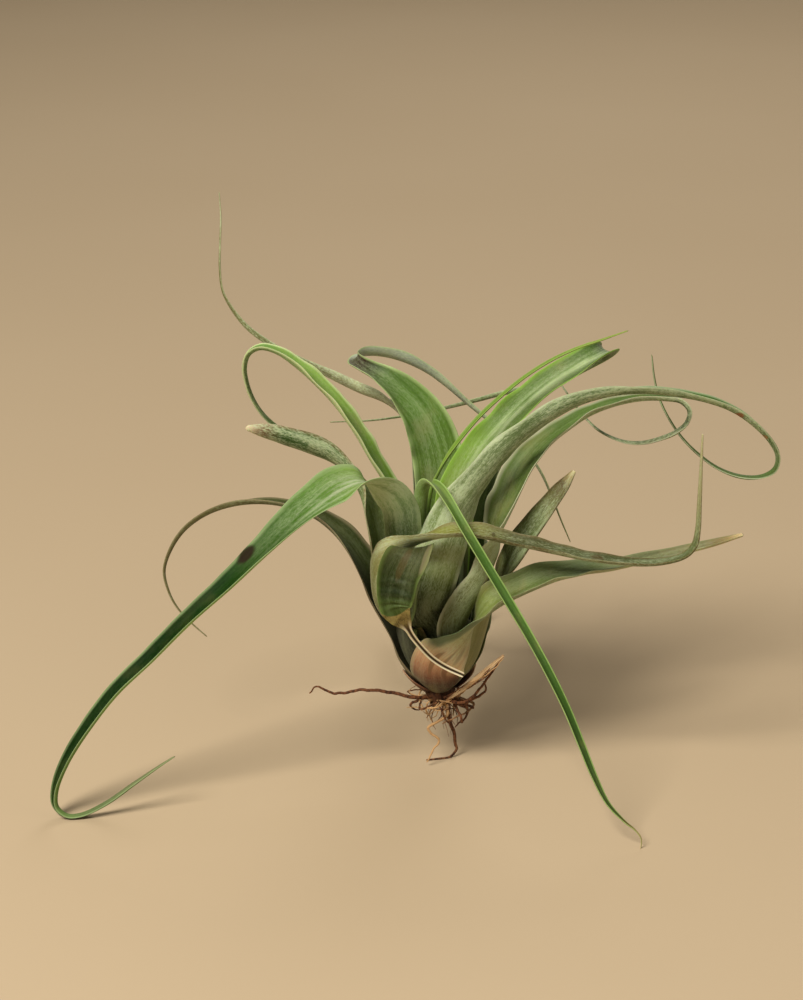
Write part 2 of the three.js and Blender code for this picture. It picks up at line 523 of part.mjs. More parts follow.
    stations: [
      [4.2, 19.5, -13.2, 10.5, -0.5, 0, -0.85],
      [7.8, 27, -12.6, 8.8, -0.65, 0, -0.75],
      [11.7, 33, -11.6, 8.6, -0.72, 0.05, -0.68],
      [14.5, 39, -10.2, 9.3, -0.8, 0.1, -0.6],
      [16.2, 43, -9.2, 9.6, -0.9, 0.15, -0.35],
      [16.7, 46.3, -8.2, 10, -0.95, 0.2, 0.1],
      [17, 49.8, -7, 10.4, -0.85, 0.2, 0.5],
      [18.3, 53.5, -5.8, 10.8, -0.75, 0.22, 0.62],
      [20, 57.5, -4.4, 11, -0.7, 0.25, 0.65],
      [22.4, 63.2, -1.5, 10.8, -0.6, 0.35, 0.75],
      [26, 69, 1.6, 10.4, -0.55, 0.5, 0.7],
      [31.2, 74.6, 5, 9.2, -0.5, 0.65, 0.6],
      [37.6, 79.4, 8.2, 7.9, -0.4, 0.8, 0.5],
      [45.2, 83.8, 11.4, 6.6, -0.3, 0.88, 0.35],
      [53.4, 86.6, 14, 5.6, -0.1, 0.93, 0.3],
      [61.2, 87.8, 15.5, 4.7, 0.1, 0.95, 0.25],
      [67.8, 87.6, 16, 4, 0.3, 0.9, 0.2],
      [72.6, 86.6, 15.5, 3.5, 0.65, 0.75, 0.1],
      [75, 83.7, 14.5, 3.2, 0.95, 0.1, 0.1],
      [74.1, 80.1, 13.5, 3, 0.8, -0.5, 0.1],
      [70.8, 77.3, 13, 2.9, 0.4, -0.9, 0.1],
      [66, 75.3, 13.5, 2.7, 0.15, -0.98, 0],
      [60.9, 74.1, 14.5, 2.5, 0, -1, 0],
      [55.8, 74.3, 16, 2.2, -0.15, -1, 0],
      [51.3, 75.8, 18, 1.9, -0.3, -0.9, 0],
      [47.4, 78, 20.5, 1.7, -0.5, -0.8, 0],
      [44.1, 81, 23, 1.5, -0.6, -0.75, 0],
      [40.8, 84.9, 25.5, 1.2, -0.65, -0.7, 0],
      [37.8, 89.4, 28, 1, -0.7, -0.65, 0],
      [35.4, 92.7, 29.5, 0.6, -0.7, -0.65, 0],
    ],
  },
  {
    name: 'leaf_dry_tip', level: 4, azimuth: 206, colour: '#5f6a42',
    open: { 2: 0.6, 3: 0.3, 4: 0.4, 5: 0.8, 6: 1.05, 7: 1.1 },
    stations: [
      [-12.8, 24.5, -12.5, 11.5, 0.65, 0, -0.75],
      [-12.2, 31.5, -15, 12, 0.5, 0.3, -0.8],
      [-10.6, 38, -18.5, 10.5, 0.3, 0.6, -0.7],
      [-8, 42, -22.5, 10.4, 0, 0.95, -0.15],
      [-7.9, 42.7, -26, 11.6, -0.1, 0.85, 0.5],
      [-9.6, 39.8, -29, 12.6, -0.2, 0.35, 0.9],
      [-12.1, 34.2, -30.5, 12.2, -0.22, 0.1, 1],
      [-12.9, 30, -31, 11.4, -0.2, 0, 1],
      [-13.3, 26.4, -31, 9.8, -0.15, 0, 1],
      [-13.2, 24.4, -30.8, 8.6, -0.15, 0, 1],
      [-12.3, 22.4, -30.4, 6.6, -0.15, 0, 1],
      [-10.8, 20.4, -29.4, 4.2, -0.15, 0, 1],
      [-9.6, 18.4, -28, 2, -0.1, 0, 1],
      [-8.1, 15.9, -26.5, 1.6, -0.1, 0, 1],
      [-5.4, 12.6, -24.5, 1.5, 0, 0, 1],
      [-2.4, 9.6, -22.5, 1.5, 0, 0, 1],
      [1.5, 7, -20.5, 1.5, 0, 0, 1],
      [6.9, 4.5, -19, 1.4, 0.1, 0, 1],
    ],
  },
  {
    name: 'leaf_back_left', level: 4, azimuth: 100, colour: '#6f8557', onTable: true,
    stations: [
      [-2.5, 14.4, 47, 12, 0.15, -0.95, 0.3],
      [-3, 24, 53, 11.5, 0, -0.5, 0.85],
      [-4, 35, 56, 11, 0, 0, 1],
      [-5.5, 46, 53, 10, 0, 0.45, 0.9],
      [-7, 56, 45.5, 8.8, 0, 0.7, 0.7],
      [-8.6, 64.5, 35, 7.4, 0, 0.85, 0.55],
      [-10, 71, 23.5, 6, 0, 0.9, 0.45],
      [-11.4, 77.5, 14.5, 4.8, 0, 0.7, 0.7],
      [-12.8, 86, 9.5, 3.8, 0, 0.25, 0.95],
      [-14.2, 95, 10, 2.6, 0, -0.2, 1],
      [-15.4, 102.5, 14, 1, 0, -0.5, 0.85],
    ],
  },
  {
    name: 'leaf_short_right', level: 4.2, azimuth: 335, colour: '#7d8a58',
    stations: [
      [14.2, 25.2, -6.5, 12, -0.9, 0.1, -0.3],
      [17.4, 31.8, -6, 11, -0.85, 0.15, 0],
      [21, 38.4, -5.5, 10.4, -0.75, 0.2, 0.4],
      [25.3, 45, -4.5, 9.6, -0.65, 0.25, 0.6],
      [29.8, 51.3, -3.5, 8.2, -0.65, 0.3, 0.65],
      [34.2, 57, -2.5, 6.4, -0.65, 0.33, 0.65],
      [37.8, 61.8, -1.5, 4.4, -0.65, 0.35, 0.65],
      [40.2, 65.4, -1, 1.6, -0.65, 0.35, 0.65],
    ],
  },
  {
    name: 'leaf_hook_left', level: 5, azimuth: 160, colour: '#7c7d5b',
    stations: [
      [-19.2, 29.4, 8, 13, 0.85, 0, 0.5],
      [-21.3, 35.4, 10, 12, 0.75, 0.25, 0.6],
      [-24.9, 41.7, 12, 10.5, 0.65, 0.45, 0.6],
      [-30, 47.7, 13.5, 8.8, 0.5, 0.65, 0.55],
      [-37.2, 52.8, 14.5, 6.2, 0.3, 0.8, 0.45],
      [-45.6, 55.8, 15, 5, 0.15, 0.9, 0.3],
      [-54, 56.7, 15.5, 4, 0, 0.95, 0.15],
      [-62.4, 55.8, 15.5, 3.4, -0.25, 0.93, -0.1],
      [-70.2, 53.1, 15.5, 3.2, -0.5, 0.85, -0.05],
      [-76.8, 48.3, 15, 2.8, -0.7, 0.7, 0],
      [-81, 42, 14.5, 2.3, -0.85, 0.45, 0],
      [-82.8, 35.7, 14, 1.8, -1, 0.1, 0],
      [-81.6, 30, 13, 1.5, -0.98, -0.2, 0],
      [-79.2, 25.2, 12.5, 1.2, -0.85, -0.5, 0],
      [-75, 20.4, 12, 0.9, -0.7, -0.7, 0],
      [-70.2, 16.2, 11, 0.6, -0.65, -0.75, 0],
    ],
  },
  {
    name: 'leaf_back_right', level: 5, azimuth: 50, colour: '#74895a', onTable: true,
    stations: [
      [10.7, 12.8, 47, 14, -0.6, -0.75, 0.2],
      [10, 22, 54, 13, -0.2, -0.5, 0.8],
      [9, 33, 57, 12, 0, 0, 1],
      [8, 45, 54, 10.5, 0, 0.4, 0.9],
      [7, 57, 44, 9, 0, 0.7, 0.7],
      [6, 68, 28, 7.2, 0, 0.85, 0.5],
      [5, 76, 12, 5.6, 0, 0.9, 0.45],
      [5, 81, 2.2, 4.6, 0, 0.7, 0.7],
      [6, 86, 0.35, 4, 0, 0.2, 0.95],
      [8, 93, 1.5, 3.2, 0, -0.1, 1],
      [11, 100, 5, 2.2, 0, -0.4, 0.9],
      [15, 106, 11, 1, 0, -0.5, 0.85],
    ],
  },
  {
    name: 'leaf_low_right', level: 5, azimuth: 264, colour: '#667748',
    open: { 2: 0.85, 3: 0.75, 4: 0.7, 5: 1.05, 6: 1.3, 7: 1.4, 8: 1.28, 9: 1.15 },
    stations: [
      [-1, 6.5, -12.5, 16, 0.1, 0, -1],
      [0.3, 9.2, -13.7, 15.4, -0.05, 0.05, -1],
      [2.8, 11.8, -14.8, 13.2, -0.3, 0.25, -0.92],
      [6.1, 15.4, -16, 12.2, -0.6, 0.5, -0.6],
      [9, 19.2, -17, 11.8, -0.6, 0.78, 0],
      [11.6, 22.8, -17.4, 12, -0.52, 0.75, 0.35],
      [15, 26.4, -17.8, 12, -0.42, 0.72, 0.52],
      [20, 29.4, -18, 11.6, -0.35, 0.74, 0.55],
      [27, 32.4, -18.2, 10.6, -0.28, 0.75, 0.55],
      [35, 35, -18, 9, -0.24, 0.78, 0.55],
      [42.5, 36.3, -17.5, 7.2, -0.22, 0.8, 0.55],
      [50, 37, -17, 6, -0.2, 0.85, 0.5],
      [58.2, 38.6, -16, 5.2, -0.2, 0.85, 0.5],
      [66.6, 40.4, -15, 4.4, -0.2, 0.85, 0.5],
      [75, 42.3, -14, 3.8, -0.2, 0.85, 0.5],
      [83.1, 44.3, -13, 3, -0.2, 0.85, 0.5],
      [90.6, 46.5, -12, 1.6, -0.2, 0.85, 0.5],
    ],
  },
];

// Old papery scales left round the foot of the stem
const SCALE_LEVEL = 5.4;
const SCALE_LENGTH = 6;
const SCALE_WIDTHS = [8, 8.6, 6.5, 2]; // from the base to the torn end
const SCALE_AZIMUTHS = { scale_left: 190, scale_right: 20, scale_back: 90 };

function scaleRows(azimuth) {
  const turn = THREE.MathUtils.degToRad(azimuth);
  const base = attachHeight(SCALE_LEVEL);
  return SCALE_WIDTHS.map((width, i) => {
    const height = base + (SCALE_LENGTH * i) / (SCALE_WIDTHS.length - 1);
    return sheathRow(SCALE_LEVEL, turn, height, width);
  });
}

// The short stem that every leaf is attached to
const STEM_TOP = 14;
const STEM_HALFWAY = 7;
const STEM_POINT = 2; // height of the growing point over the top
const STEM_SIDES = 20;
const WIDEST_SHEATH = 20;
const FOOT_ROUNDING = [[0, -4], [3, -3.4], [4.2, -1.5]]; // radius and height under the rosette

function stemGeometry() {
  const seat = BLADE_MIDDLE + BLADE_SWELL * WIDEST_SHEATH;
  const levelAt = (height) => (HEART_HEIGHT - height) / LEVEL_DROP;
  const radiusAt = (height) => attachRadius(levelAt(height)) - seat / 2 - CLEARANCE;
  const wall = [0, STEM_HALFWAY, STEM_TOP].map((height) => [radiusAt(height), height]);
  const profile = [...FOOT_ROUNDING, ...wall, [0, STEM_TOP + STEM_POINT]];
  const points = profile.map(([radius, height]) => new THREE.Vector2(radius, FOOT_HEIGHT + height));
  return new THREE.LatheGeometry(points, STEM_SIDES).rotateX(Math.PI / 2);
}

// Roots: wiry strands from the foot, one of them down to the table
const ROOT_SIDES = 5;
const ROOT_STEPS = 3; // steps between two places on a route
const FULL_TURN = 2 * Math.PI;
const roots = [ // stations of right, up and back
  { radius: 0.5, route: [[-1.8, -2.2, -2.5], [-8, -2.2, -7.2], [-12, -1.2, -8], [-18, -0.3, -9], [-24.3, -0.2, -9.5],
    [-31.5, -0.8, -10], [-35.4, 0.6, -10], [-37.2, 1.1, -10], [-39.2, -0.9, -9.5]] },
  { radius: 0.45, route: [[1.8, -1.8, -2], [6.3, -4.5, -7], [9.3, -3, -8], [12, -1.5, -8.5],
    [13.5, -0.3, -8.5], [13.5, 1.5, -8.5], [13.2, 2.7, -8.5]] },
  { radius: 0.45, route: [[1.5, -2.4, -2.5], [6.5, -3.8, -8.5], [10.5, -1.5, -10], [13.5, 2.5, -11],
    [16.5, 6.5, -11.5], [18, 9.5, -11.5]] },
  { radius: 0.4, route: [[0.8, -2.6, -1.8], [2.4, -7.1, -3.5], [-3.5, -11.1, -4], [-2.9, -12.6, -4],
    [-0.3, -15.6, -4], [-1.6, -17.4, -4.5], [-3.4, -20.4, -5], [-3.9, -21.6, -5]] },
];

function rootGeometry(places, radius, steps) {
  const outline = new THREE.Shape();
  for (let k = 0; k < ROOT_SIDES; k++) {
    const turn = (FULL_TURN * k) / ROOT_SIDES;
    const corner = [radius * Math.cos(turn), radius * Math.sin(turn)];
    if (k === 0) outline.moveTo(...corner);
    else outline.lineTo(...corner);
  }
  const extrudePath = new THREE.CatmullRomCurve3(places, false, 'centripetal');
  return new THREE.ExtrudeGeometry(outline, { steps, extrudePath, bevelEnabled: false });
}

// The root that reaches the table passes over the origin and lies pressed flat there
const TABLE_ROOT_RADIUS = 0.55;
const TABLE_ROOT_LIFT = 0.35;
const TABLE_ROOT_STEPS = 20;
const tableRoute = [
  seen(1, 1, 1), seen(2.4, -7.1, 1), seen(3.3, -10.5, 1), seen(4.2, -12.6, 1.5),
  seen(4.6, -16.2, 2), new THREE.Vector3(5.2, 2.2, 2.6),
  new THREE.Vector3(3.2, 1.2, TABLE_ROOT_LIFT), new THREE.Vector3(0, 0, TABLE_ROOT_LIFT),
  new THREE.Vector3(-4, -1, TABLE_ROOT_LIFT),
];

// Repeatable random numbers for the tangle of short roots
const RANDOM_FACTOR = 16807;
const RANDOM_MODULUS = 2147483647;
let seed = 11;
function random() {
  seed = (seed * RANDOM_FACTOR) % RANDOM_MODULUS;
  return seed / RANDOM_MODULUS;
}

const TANGLE_COUNT = 10;
const TANGLE_RADIUS = 0.45;
const TANGLE_START = { radius: 3, depth: 1 };
const TANGLE_REACH = { least: 7, extra: 4 };
const TANGLE_DROP = { least: 3, extra: 5, tip: 4 };
const TANGLE_TURN = { middle: 0.8, tip: 2.4 };
const TANGLE_CURL = 0.8; // reach of a tip against its widest place

function roundFoot(radius, turn, depth) {
  return new THREE.Vector3(radius * Math.cos(turn), radius * Math.sin(turn), FOOT_HEIGHT - depth);
}

function tangleRoute() {
  const turn = FULL_TURN * random();
  const reach = TANGLE_REACH.least + TANGLE_REACH.extra * random();
  const drop = TANGLE_DROP.least + TANGLE_DROP.extra * random();
  const middleTurn = turn + TANGLE_TURN.middle * (random() - 0.5);
  const tipTurn = turn + TANGLE_TURN.tip * (random() - 0.5);
  const tipDrop = drop + TANGLE_DROP.tip * random();
  return [
    roundFoot(TANGLE_START.radius, turn, TANGLE_START.depth),
    roundFoot(reach, middleTurn, drop),
    roundFoot(TANGLE_CURL * reach, tipTurn, tipDrop),
  ];
}

function stemAndRoots() {
  const strands = roots.map(({ radius, route }) => {
    const places = route.map((station) => seen(...station));
    return rootGeometry(places, radius, ROOT_STEPS * (places.length - 1));
  });
  strands.push(rootGeometry(tableRoute, TABLE_ROOT_RADIUS, TABLE_ROOT_STEPS));
  for (let k = 0; k < TANGLE_COUNT; k++) {
    strands.push(rootGeometry(tangleRoute(), TANGLE_RADIUS, 2 * ROOT_STEPS));
  }
  return strands.reduce((whole, strand) => whole.add(toSolid(strand)), toSolid(stemGeometry()));
}

// A dead flat strand hangs beside the foot: stations of right, up, back and width
const STRAP_ARC = THREE.MathUtils.degToRad(20);
const STRAP_FACE = inView(-0.3, 0.5, 0.8).toArray();
const strapStations = [
  [2.1, -2.4, -4.6, 1.6], [5.4, -0.6, -8, 1.9], [9.6, 2.4, -11.5, 1.8], [14.4, 6.4, -14, 1.5],
  [19, 10.2, -15.5, 1],
];

function strapGeometry() {
  const rows = strapStations.map(([right, up, back, width]) => {
    return [...seen(right, up, back).toArray(), width, STRAP_ARC, ...STRAP_FACE];
  });
  return bladeGeometry(ringsAlong(rows));
}

// Assembly, with each sheath cut clear of the pieces nearer the heart
const plant = new THREE.Group();

function addPiece(name, solid, colour, roughness) {
  const material = new THREE.MeshStandardMaterial({ color: colour, roughness, metalness: 0 });
  const piece = new THREE.Mesh(toGeometry(solid), material);
  piece.name = name;
  plant.add(piece);
}

const NESTED_HEIGHT = 58; // sheaths lie inside one another up to here
const LEAF_ROUGHNESS = 0.75;
const DRY_ROUGHNESS = 0.85;
const stem = stemAndRoots();
const taken = [toSolid(stemGeometry())];

function clearOfInner(solid) {
  return taken.reduce((rest, inner) => rest.subtract(inner), solid);
}

// The nested part of a leaf, thickened by the gap that its outer neighbours keep
function sheathCutter(rings) {
  const top = rings.findIndex(({ at }) => at.z > FOOT_HEIGHT + NESTED_HEIGHT);
  const nested = top < 0 ? rings : rings.slice(0, top + 1);
  return toSolid(bladeGeometry(nested, CLEARANCE));
}

for (const leaf of leaves) {
  const rings = ringsAlong(leafRows(leaf));
  const whole = toSolid(bladeGeometry(rings));
  addPiece(leaf.name, largestPiece(aboveTable(clearOfInner(whole))), leaf.colour, LEAF_ROUGHNESS);
  taken.push(sheathCutter(rings));
}

for (const [name, azimuth] of Object.entries(SCALE_AZIMUTHS)) {
  const rings = ringsAlong(scaleRows(azimuth));
  addPiece(name, largestPiece(clearOfInner(toSolid(bladeGeometry(rings)))), '#7a4f34', DRY_ROUGHNESS);
  taken.push(sheathCutter(rings));
}

addPiece('stem_and_roots', largestPiece(aboveTable(stem)), '#5a3a28', DRY_ROUGHNESS);
addPiece('dry_root_strap', toSolid(strapGeometry()), '#b79f7c', DRY_ROUGHNESS);

export default plant;
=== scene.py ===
import itertools
import math
import random

import bpy
import numpy as np
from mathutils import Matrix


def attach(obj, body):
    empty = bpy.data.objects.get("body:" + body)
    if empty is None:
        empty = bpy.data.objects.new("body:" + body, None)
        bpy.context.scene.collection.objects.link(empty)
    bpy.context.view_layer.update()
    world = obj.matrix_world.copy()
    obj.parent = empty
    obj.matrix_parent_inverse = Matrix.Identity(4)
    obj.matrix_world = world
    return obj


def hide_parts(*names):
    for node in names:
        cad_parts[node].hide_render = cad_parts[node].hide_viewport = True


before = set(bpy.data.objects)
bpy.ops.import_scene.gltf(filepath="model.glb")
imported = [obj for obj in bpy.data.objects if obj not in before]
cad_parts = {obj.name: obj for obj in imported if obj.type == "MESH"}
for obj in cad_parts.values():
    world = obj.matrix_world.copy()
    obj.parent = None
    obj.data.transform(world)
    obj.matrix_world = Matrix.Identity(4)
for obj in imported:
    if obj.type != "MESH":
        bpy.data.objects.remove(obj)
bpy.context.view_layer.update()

# Stem: the short woody core that every leaf is attached to. It is brown and rough, and only its
# rounded foot shows below the papery scales. The lengths here and below are in millimetres.
MILLIMETRE = 0.001
FOOT_HEIGHT = 23.0
STEM_PROFILE = ((0.2, -4.0), (1.8, -3.9), (3.0, -3.4), (3.8, -2.6), (4.2, -1.4), (4.5, 0.0),
                (3.9, 4.0), (3.3, 7.0), (2.5, 11.0), (1.8, 14.0), (0.2, 16.0))
STEM_RINGS, STEM_SIDES = 60, 72
STEM_SEED = 5
STEM_LOBES = 9
STEM_ROUGHNESS = 0.35
BARK_TONES, BARK_BLOTCH = ("2a140b", "5b3a26"), "7a5236"
BARK_GRAIN = (900.0, 900.0, 260.0)
BARK_PATCHES = (160.0, 160.0, 160.0)
BARK_RELIEF = 0.3
MIX_FACTOR, MIX_FIRST, MIX_SECOND, MIXED_COLOUR = 0, 6, 7, 2  # the Mix node's colour sockets


class Wire:
    """One socket of a node tree. Arithmetic on it adds the nodes that it needs."""

    def __init__(self, tree, socket=None):
        self.tree = tree
        self.socket = socket

    def node(self, kind, settings=None, sockets=None, output=0, stops=()):
        made = self.tree.nodes.new(kind)
        for setting, value in (settings or {}).items():
            setattr(made, setting, value)
        for n, (position, colour) in enumerate(stops):
            if n < 2:
                made.color_ramp.elements[n].position = position
            else:
                made.color_ramp.elements.new(position)
            made.color_ramp.elements[n].color = colour
        for key, value in (sockets or {}).items():
            if isinstance(value, Wire):
                self.tree.links.new(value.socket, made.inputs[key])
            else:
                made.inputs[key].default_value = value
        return Wire(self.tree, made.outputs[output])

    def maths(self, operation, *values):
        return self.node("ShaderNodeMath", {"operation": operation}, dict(enumerate(values)))

    def vectors(self, operation, sockets):
        return self.node("ShaderNodeVectorMath", {"operation": operation}, sockets)

    def __add__(self, other):
        return self.maths("ADD", self, other)

    __radd__ = __add__

    def __sub__(self, other):
        return self.maths("SUBTRACT", self, other)

    def __rsub__(self, other):
        return self.maths("SUBTRACT", other, self)

    def __mul__(self, other):
        return self.maths("MULTIPLY", self, other)

    __rmul__ = __mul__

    def __abs__(self):
        return self.maths("ABSOLUTE", self)

    def step(self, low, high):
        return self.node("ShaderNodeMapRange", {"interpolation_type": "SMOOTHSTEP"},
                         {"Value": self, "From Min": low, "From Max": high})

    def mix(self, first, second):
        return self.node("ShaderNodeMix", {"data_type": "RGBA"}, {
            MIX_FACTOR: self, MIX_FIRST: first, MIX_SECOND: second}, MIXED_COLOUR)

    def ramp(self, stops):
        stops = [(position, tone(code)) for position, code in stops]
        return self.node("ShaderNodeValToRGB", None, {"Fac": self}, 0, stops)

    def shade(self, amount):
        return self.vectors("SCALE", {0: self, "Scale": amount})

    def noise(self, factors, detail=2.0, roughness=0.5):
        return self.node("ShaderNodeTexNoise", None, {
            "Vector": self.vectors("MULTIPLY", {0: self, 1: factors}),
            "Scale": 1.0, "Detail": detail, "Roughness": roughness})

    def place(self):
        return self.node("ShaderNodeTexCoord", None, None, "Object")

    def attribute(self, name, output="Fac"):
        return self.node("ShaderNodeAttribute", {"attribute_name": name}, None, output)


def tone(code):
    """Linear colour of a six-figure code."""
    parts = [int(code[n:n + 2], 16) / 255 for n in (0, 2, 4)]
    return (*[p / 12.92 if p <= 0.04045 else ((p + 0.055) / 1.055) ** 2.4 for p in parts], 1.0)


def finish(name, constants=None):
    """A new material: its first wire, and its shader with what is the same all over it."""
    material = bpy.data.materials.new(name)
    material.use_nodes = True
    tree = material.node_tree
    shader = next(n for n in tree.nodes if n.type == "BSDF_PRINCIPLED")
    for label, value in (constants or {}).items():
        shader.inputs[label].default_value = value
    return material, Wire(tree), shader


def dress(wire, shader, colour, roughness, height, depth):
    """Joins a finish to its shader, with relief of a real depth in millimetres."""
    relief = wire.node("ShaderNodeBump", None, {"Strength": 1.0, "Distance": depth * MILLIMETRE,
                                                "Height": height})
    for socket, value in (("Base Color", colour), ("Roughness", roughness), ("Normal", relief)):
        wire.tree.links.new(value.socket, shader.inputs[socket])


def bark_finish():
    material, wire, shader = finish("stem bark", {"Specular IOR Level": 0.25})
    spot = wire.place()
    grain = spot.noise(BARK_GRAIN, 5.0, 0.65)
    patch = spot.noise(BARK_PATCHES)
    colour = grain.step(0.35, 0.72).mix(*map(tone, BARK_TONES))
    colour = patch.step(0.5, 0.75).mix(colour, tone(BARK_BLOTCH))
    dress(wire, shader, colour, 0.9 - 0.25 * grain, grain, BARK_RELIEF)
    return material


def plain_mesh(name, points, faces, values=None, edges=()):
    """A mesh in metres from points in millimetres, with values kept on its points."""
    mesh = bpy.data.meshes.new(name)
    mesh.from_pydata((np.asarray(points) * MILLIMETRE).tolist(), list(edges), faces)
    for label, numbers in (values or {}).items():
        numbers = np.asarray(numbers, dtype=np.float32)
        kind, field = ("FLOAT_VECTOR", "vector") if numbers.ndim > 1 else ("FLOAT", "value")
        mesh.attributes.new(label, kind, "POINT").data.foreach_set(field, numbers.ravel())
    mesh.shade_smooth()
    return mesh


def tube_faces(rings, sides):
    """Faces between rings of points that lie one after another."""
    return [(i * sides + k, i * sides + (k + 1) % sides,
             (i + 1) * sides + (k + 1) % sides, (i + 1) * sides + k)
            for i in range(rings - 1) for k in range(sides)]


def stem_mesh():
    profile = np.array(STEM_PROFILE)
    steps = np.linspace(0, len(profile) - 1, STEM_RINGS)
    radius, level = (np.interp(steps, range(len(profile)), column) for column in profile.T)
    draw = random.Random(STEM_SEED)
    lobes = [(draw.randint(3, 17), draw.uniform(0, 6.28), draw.uniform(0.2, 0.9))
             for _ in range(STEM_LOBES)]
    points = []
    for r, h in zip(radius, level):
        for k in range(STEM_SIDES):
            turn = 2 * math.pi * k / STEM_SIDES
            bumps = sum(math.sin(n * turn + phase + lean * h) for n, phase, lean in lobes)
            reach = max(r + STEM_ROUGHNESS * (bumps / STEM_LOBES) * min(1.0, r / 3), 0.02)
            points.append((reach * math.cos(turn), reach * math.sin(turn), FOOT_HEIGHT + h))
    foot = tuple(range(STEM_SIDES))
    top = tuple(range((STEM_RINGS - 1) * STEM_SIDES, STEM_RINGS * STEM_SIDES))
    return plain_mesh("stem", points, [*tube_faces(STEM_RINGS, STEM_SIDES), foot[::-1], top])


def new_piece(name, data, material=None):
    piece = bpy.data.objects.new(name, data)
    bpy.context.scene.collection.objects.link(piece)
    if material:
        data.materials.append(material)
    return piece


def fit(piece, node):
    """Puts a finished piece in its node's stead."""
    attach(piece, "root")
    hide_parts(node)


fit(new_piece("stem", stem_mesh(), bark_finish()), "stem_and_roots")

# Roots: stiff wiry strands that spring from the foot, wander and cross. Few are longer than 4 cm.
# One reaches the table and lies pressed flat there. They are brown, and some are bleached.
VIEW_PITCH = math.radians(20)
VIEW_DISTANCE = 800.0
VIEW_CENTRE = (-11.55, 57.0)
RIGHT = np.array((1.0, 0.0, 0.0))
UP = np.array((0.0, math.sin(VIEW_PITCH), math.cos(VIEW_PITCH)))
NEAR = np.array((0.0, -math.cos(VIEW_PITCH), math.sin(VIEW_PITCH)))
FOOT = np.array((0.0, 0.0, FOOT_HEIGHT))


def in_view(right, up, near):
    return right * RIGHT + up * UP + near * NEAR


EYE = in_view(*VIEW_CENTRE, VIEW_DISTANCE) + FOOT


def seen(right, up, back):
    """The place seen right of and above the foot in the front view, at a distance back."""
    facing = in_view(right, up, 0.0) + FOOT - EYE
    return EYE + facing * (back - EYE[1]) / facing[1]


def curve_through(rows, parts):
    """A smooth curve through rows of numbers whose first three are a place."""
    rows = np.asarray(rows, dtype=float)
    points = np.vstack((2 * rows[0] - rows[1], rows, 2 * rows[-1] - rows[-2]))
    gaps = np.linalg.norm(np.diff(points[:, :3], axis=0), axis=1)
    knots = np.concatenate(((0.0,), np.cumsum(np.sqrt(gaps))))
    fine = []
    for s in range(len(rows) - 1):
        p0, p1, p2, p3 = points[s:s + 4]
        t0, t1, t2, t3 = knots[s:s + 4]
        t = t1 + (t2 - t1) * np.arange(parts)[:, None] / parts

        def blend(a, b, start, end):
            return a + (b - a) * (t - start) / (end - start)

        first = blend(p0, p1, t0, t1)
        second = blend(p1, p2, t1, t2)
        third = blend(p2, p3, t2, t3)
        fine.append(blend(blend(first, second, t0, t2), blend(second, third, t1, t3), t1, t2))
    return np.vstack((*fine, rows[-1:]))


# Radius, how bleached it is, and its places as seen from the front
ROOT_ROUTES = (
    (0.5, 0.0, ((-1.8, -2.2, -2.5), (-8, -2.2, -7.2), (-12, -1.2, -8), (-18, -0.3, -9),
                (-24.3, -0.2, -9.5), (-31.5, -0.8, -10), (-35.4, 0.6, -10), (-37.2, 1.1, -10),
                (-39.2, -0.9, -9.5))),
    (0.45, 0.1, ((1.8, -1.8, -2), (6.3, -4.5, -7), (9.3, -3, -8), (12, -1.5, -8.5),
                 (13.5, -0.3, -8.5), (13.5, 1.5, -8.5), (13.2, 2.7, -8.5))),
    (0.45, 0.3, ((1.5, -2.4, -2.5), (6.5, -3.8, -8.5), (10.5, -1.5, -10), (13.5, 2.5, -11),
                 (16.5, 6.5, -11.5), (18, 9.5, -11.5))),
    (0.4, 0.8, ((0.8, -2.6, -1.8), (2.4, -7.1, -3.5), (-3.5, -11.1, -4), (-2.9, -12.6, -4),
                (-0.3, -15.6, -4), (-1.6, -17.4, -4.5), (-3.4, -20.4, -5), (-3.9, -21.6, -5))),
)
TABLE_ROOT_RADIUS = 0.55
TABLE_ROOT_PALENESS = 0.4
TABLE_ROOT = (seen(1, 1, 1), seen(2.4, -7.1, 1), seen(3.3, -10.5, 1), seen(4.2, -12.6, 1.5),
              seen(4.6, -16.2, 2), (5.2, 2.2, 2.6), (3.2, 1.2, 0.35), (0, 0, 0.35), (-4, -1, 0.35))
TANGLE_SEED = 11
TANGLE_COUNT = 10
TANGLE_RADIUS = 0.42
TANGLE_REACH, TANGLE_DROP, TANGLE_FALL = (7, 4), (3, 5), 4
TANGLE_TURNS, TANGLE_CURL = (0.8, 2.4), 0.8
TANGLE_PALENESS = 0.7
ROOTLET_SEED = 23
ROOTLET_COUNT = 30
ROOTLET_RADII = (0.12, 0.28)
ROOTLET_START, ROOTLET_REACH, ROOTLET_BENDS = (1, 3.6), (3.5, 10), (2, 5)
ROOTLET_SWING, ROOTLET_TURN, ROOTLET_CURL = (0.1, 1.1), (0.4, 1.3), (0.6, 1.15)
ROOTLET_DROP, ROOTLET_DEPTHS = (-1.0, 4.2), (0.5, 17)
CORE_COUNT = 34
CORE_RADII, CORE_TURNS = ((0.5, 3.2), (2.4, 4.6), (1.4, 4.2)), (0.9, 1.6)
CORE_DEPTHS = (1.5, (1.8, 3.6), (3.0, 6.0))
FRAY_COUNT = 11
FRAY_RIGHT, FRAY_UP, FRAY_BACK = (-0.9, 1.1), (-1.7, 0.7), (-1, 1)
HANGING_COUNT = 7
HANGING_RIGHT, HANGING_TOP, HANGING_BACK = (-3.5, 3.5), -3.0, (-4.5, -1)
HANGING_BENDS, HANGING_SWAY, HANGING_DROP = (2, 4), (-1.6, 1.8), (1.6, 3.6)
PALENESS_SEED = 31
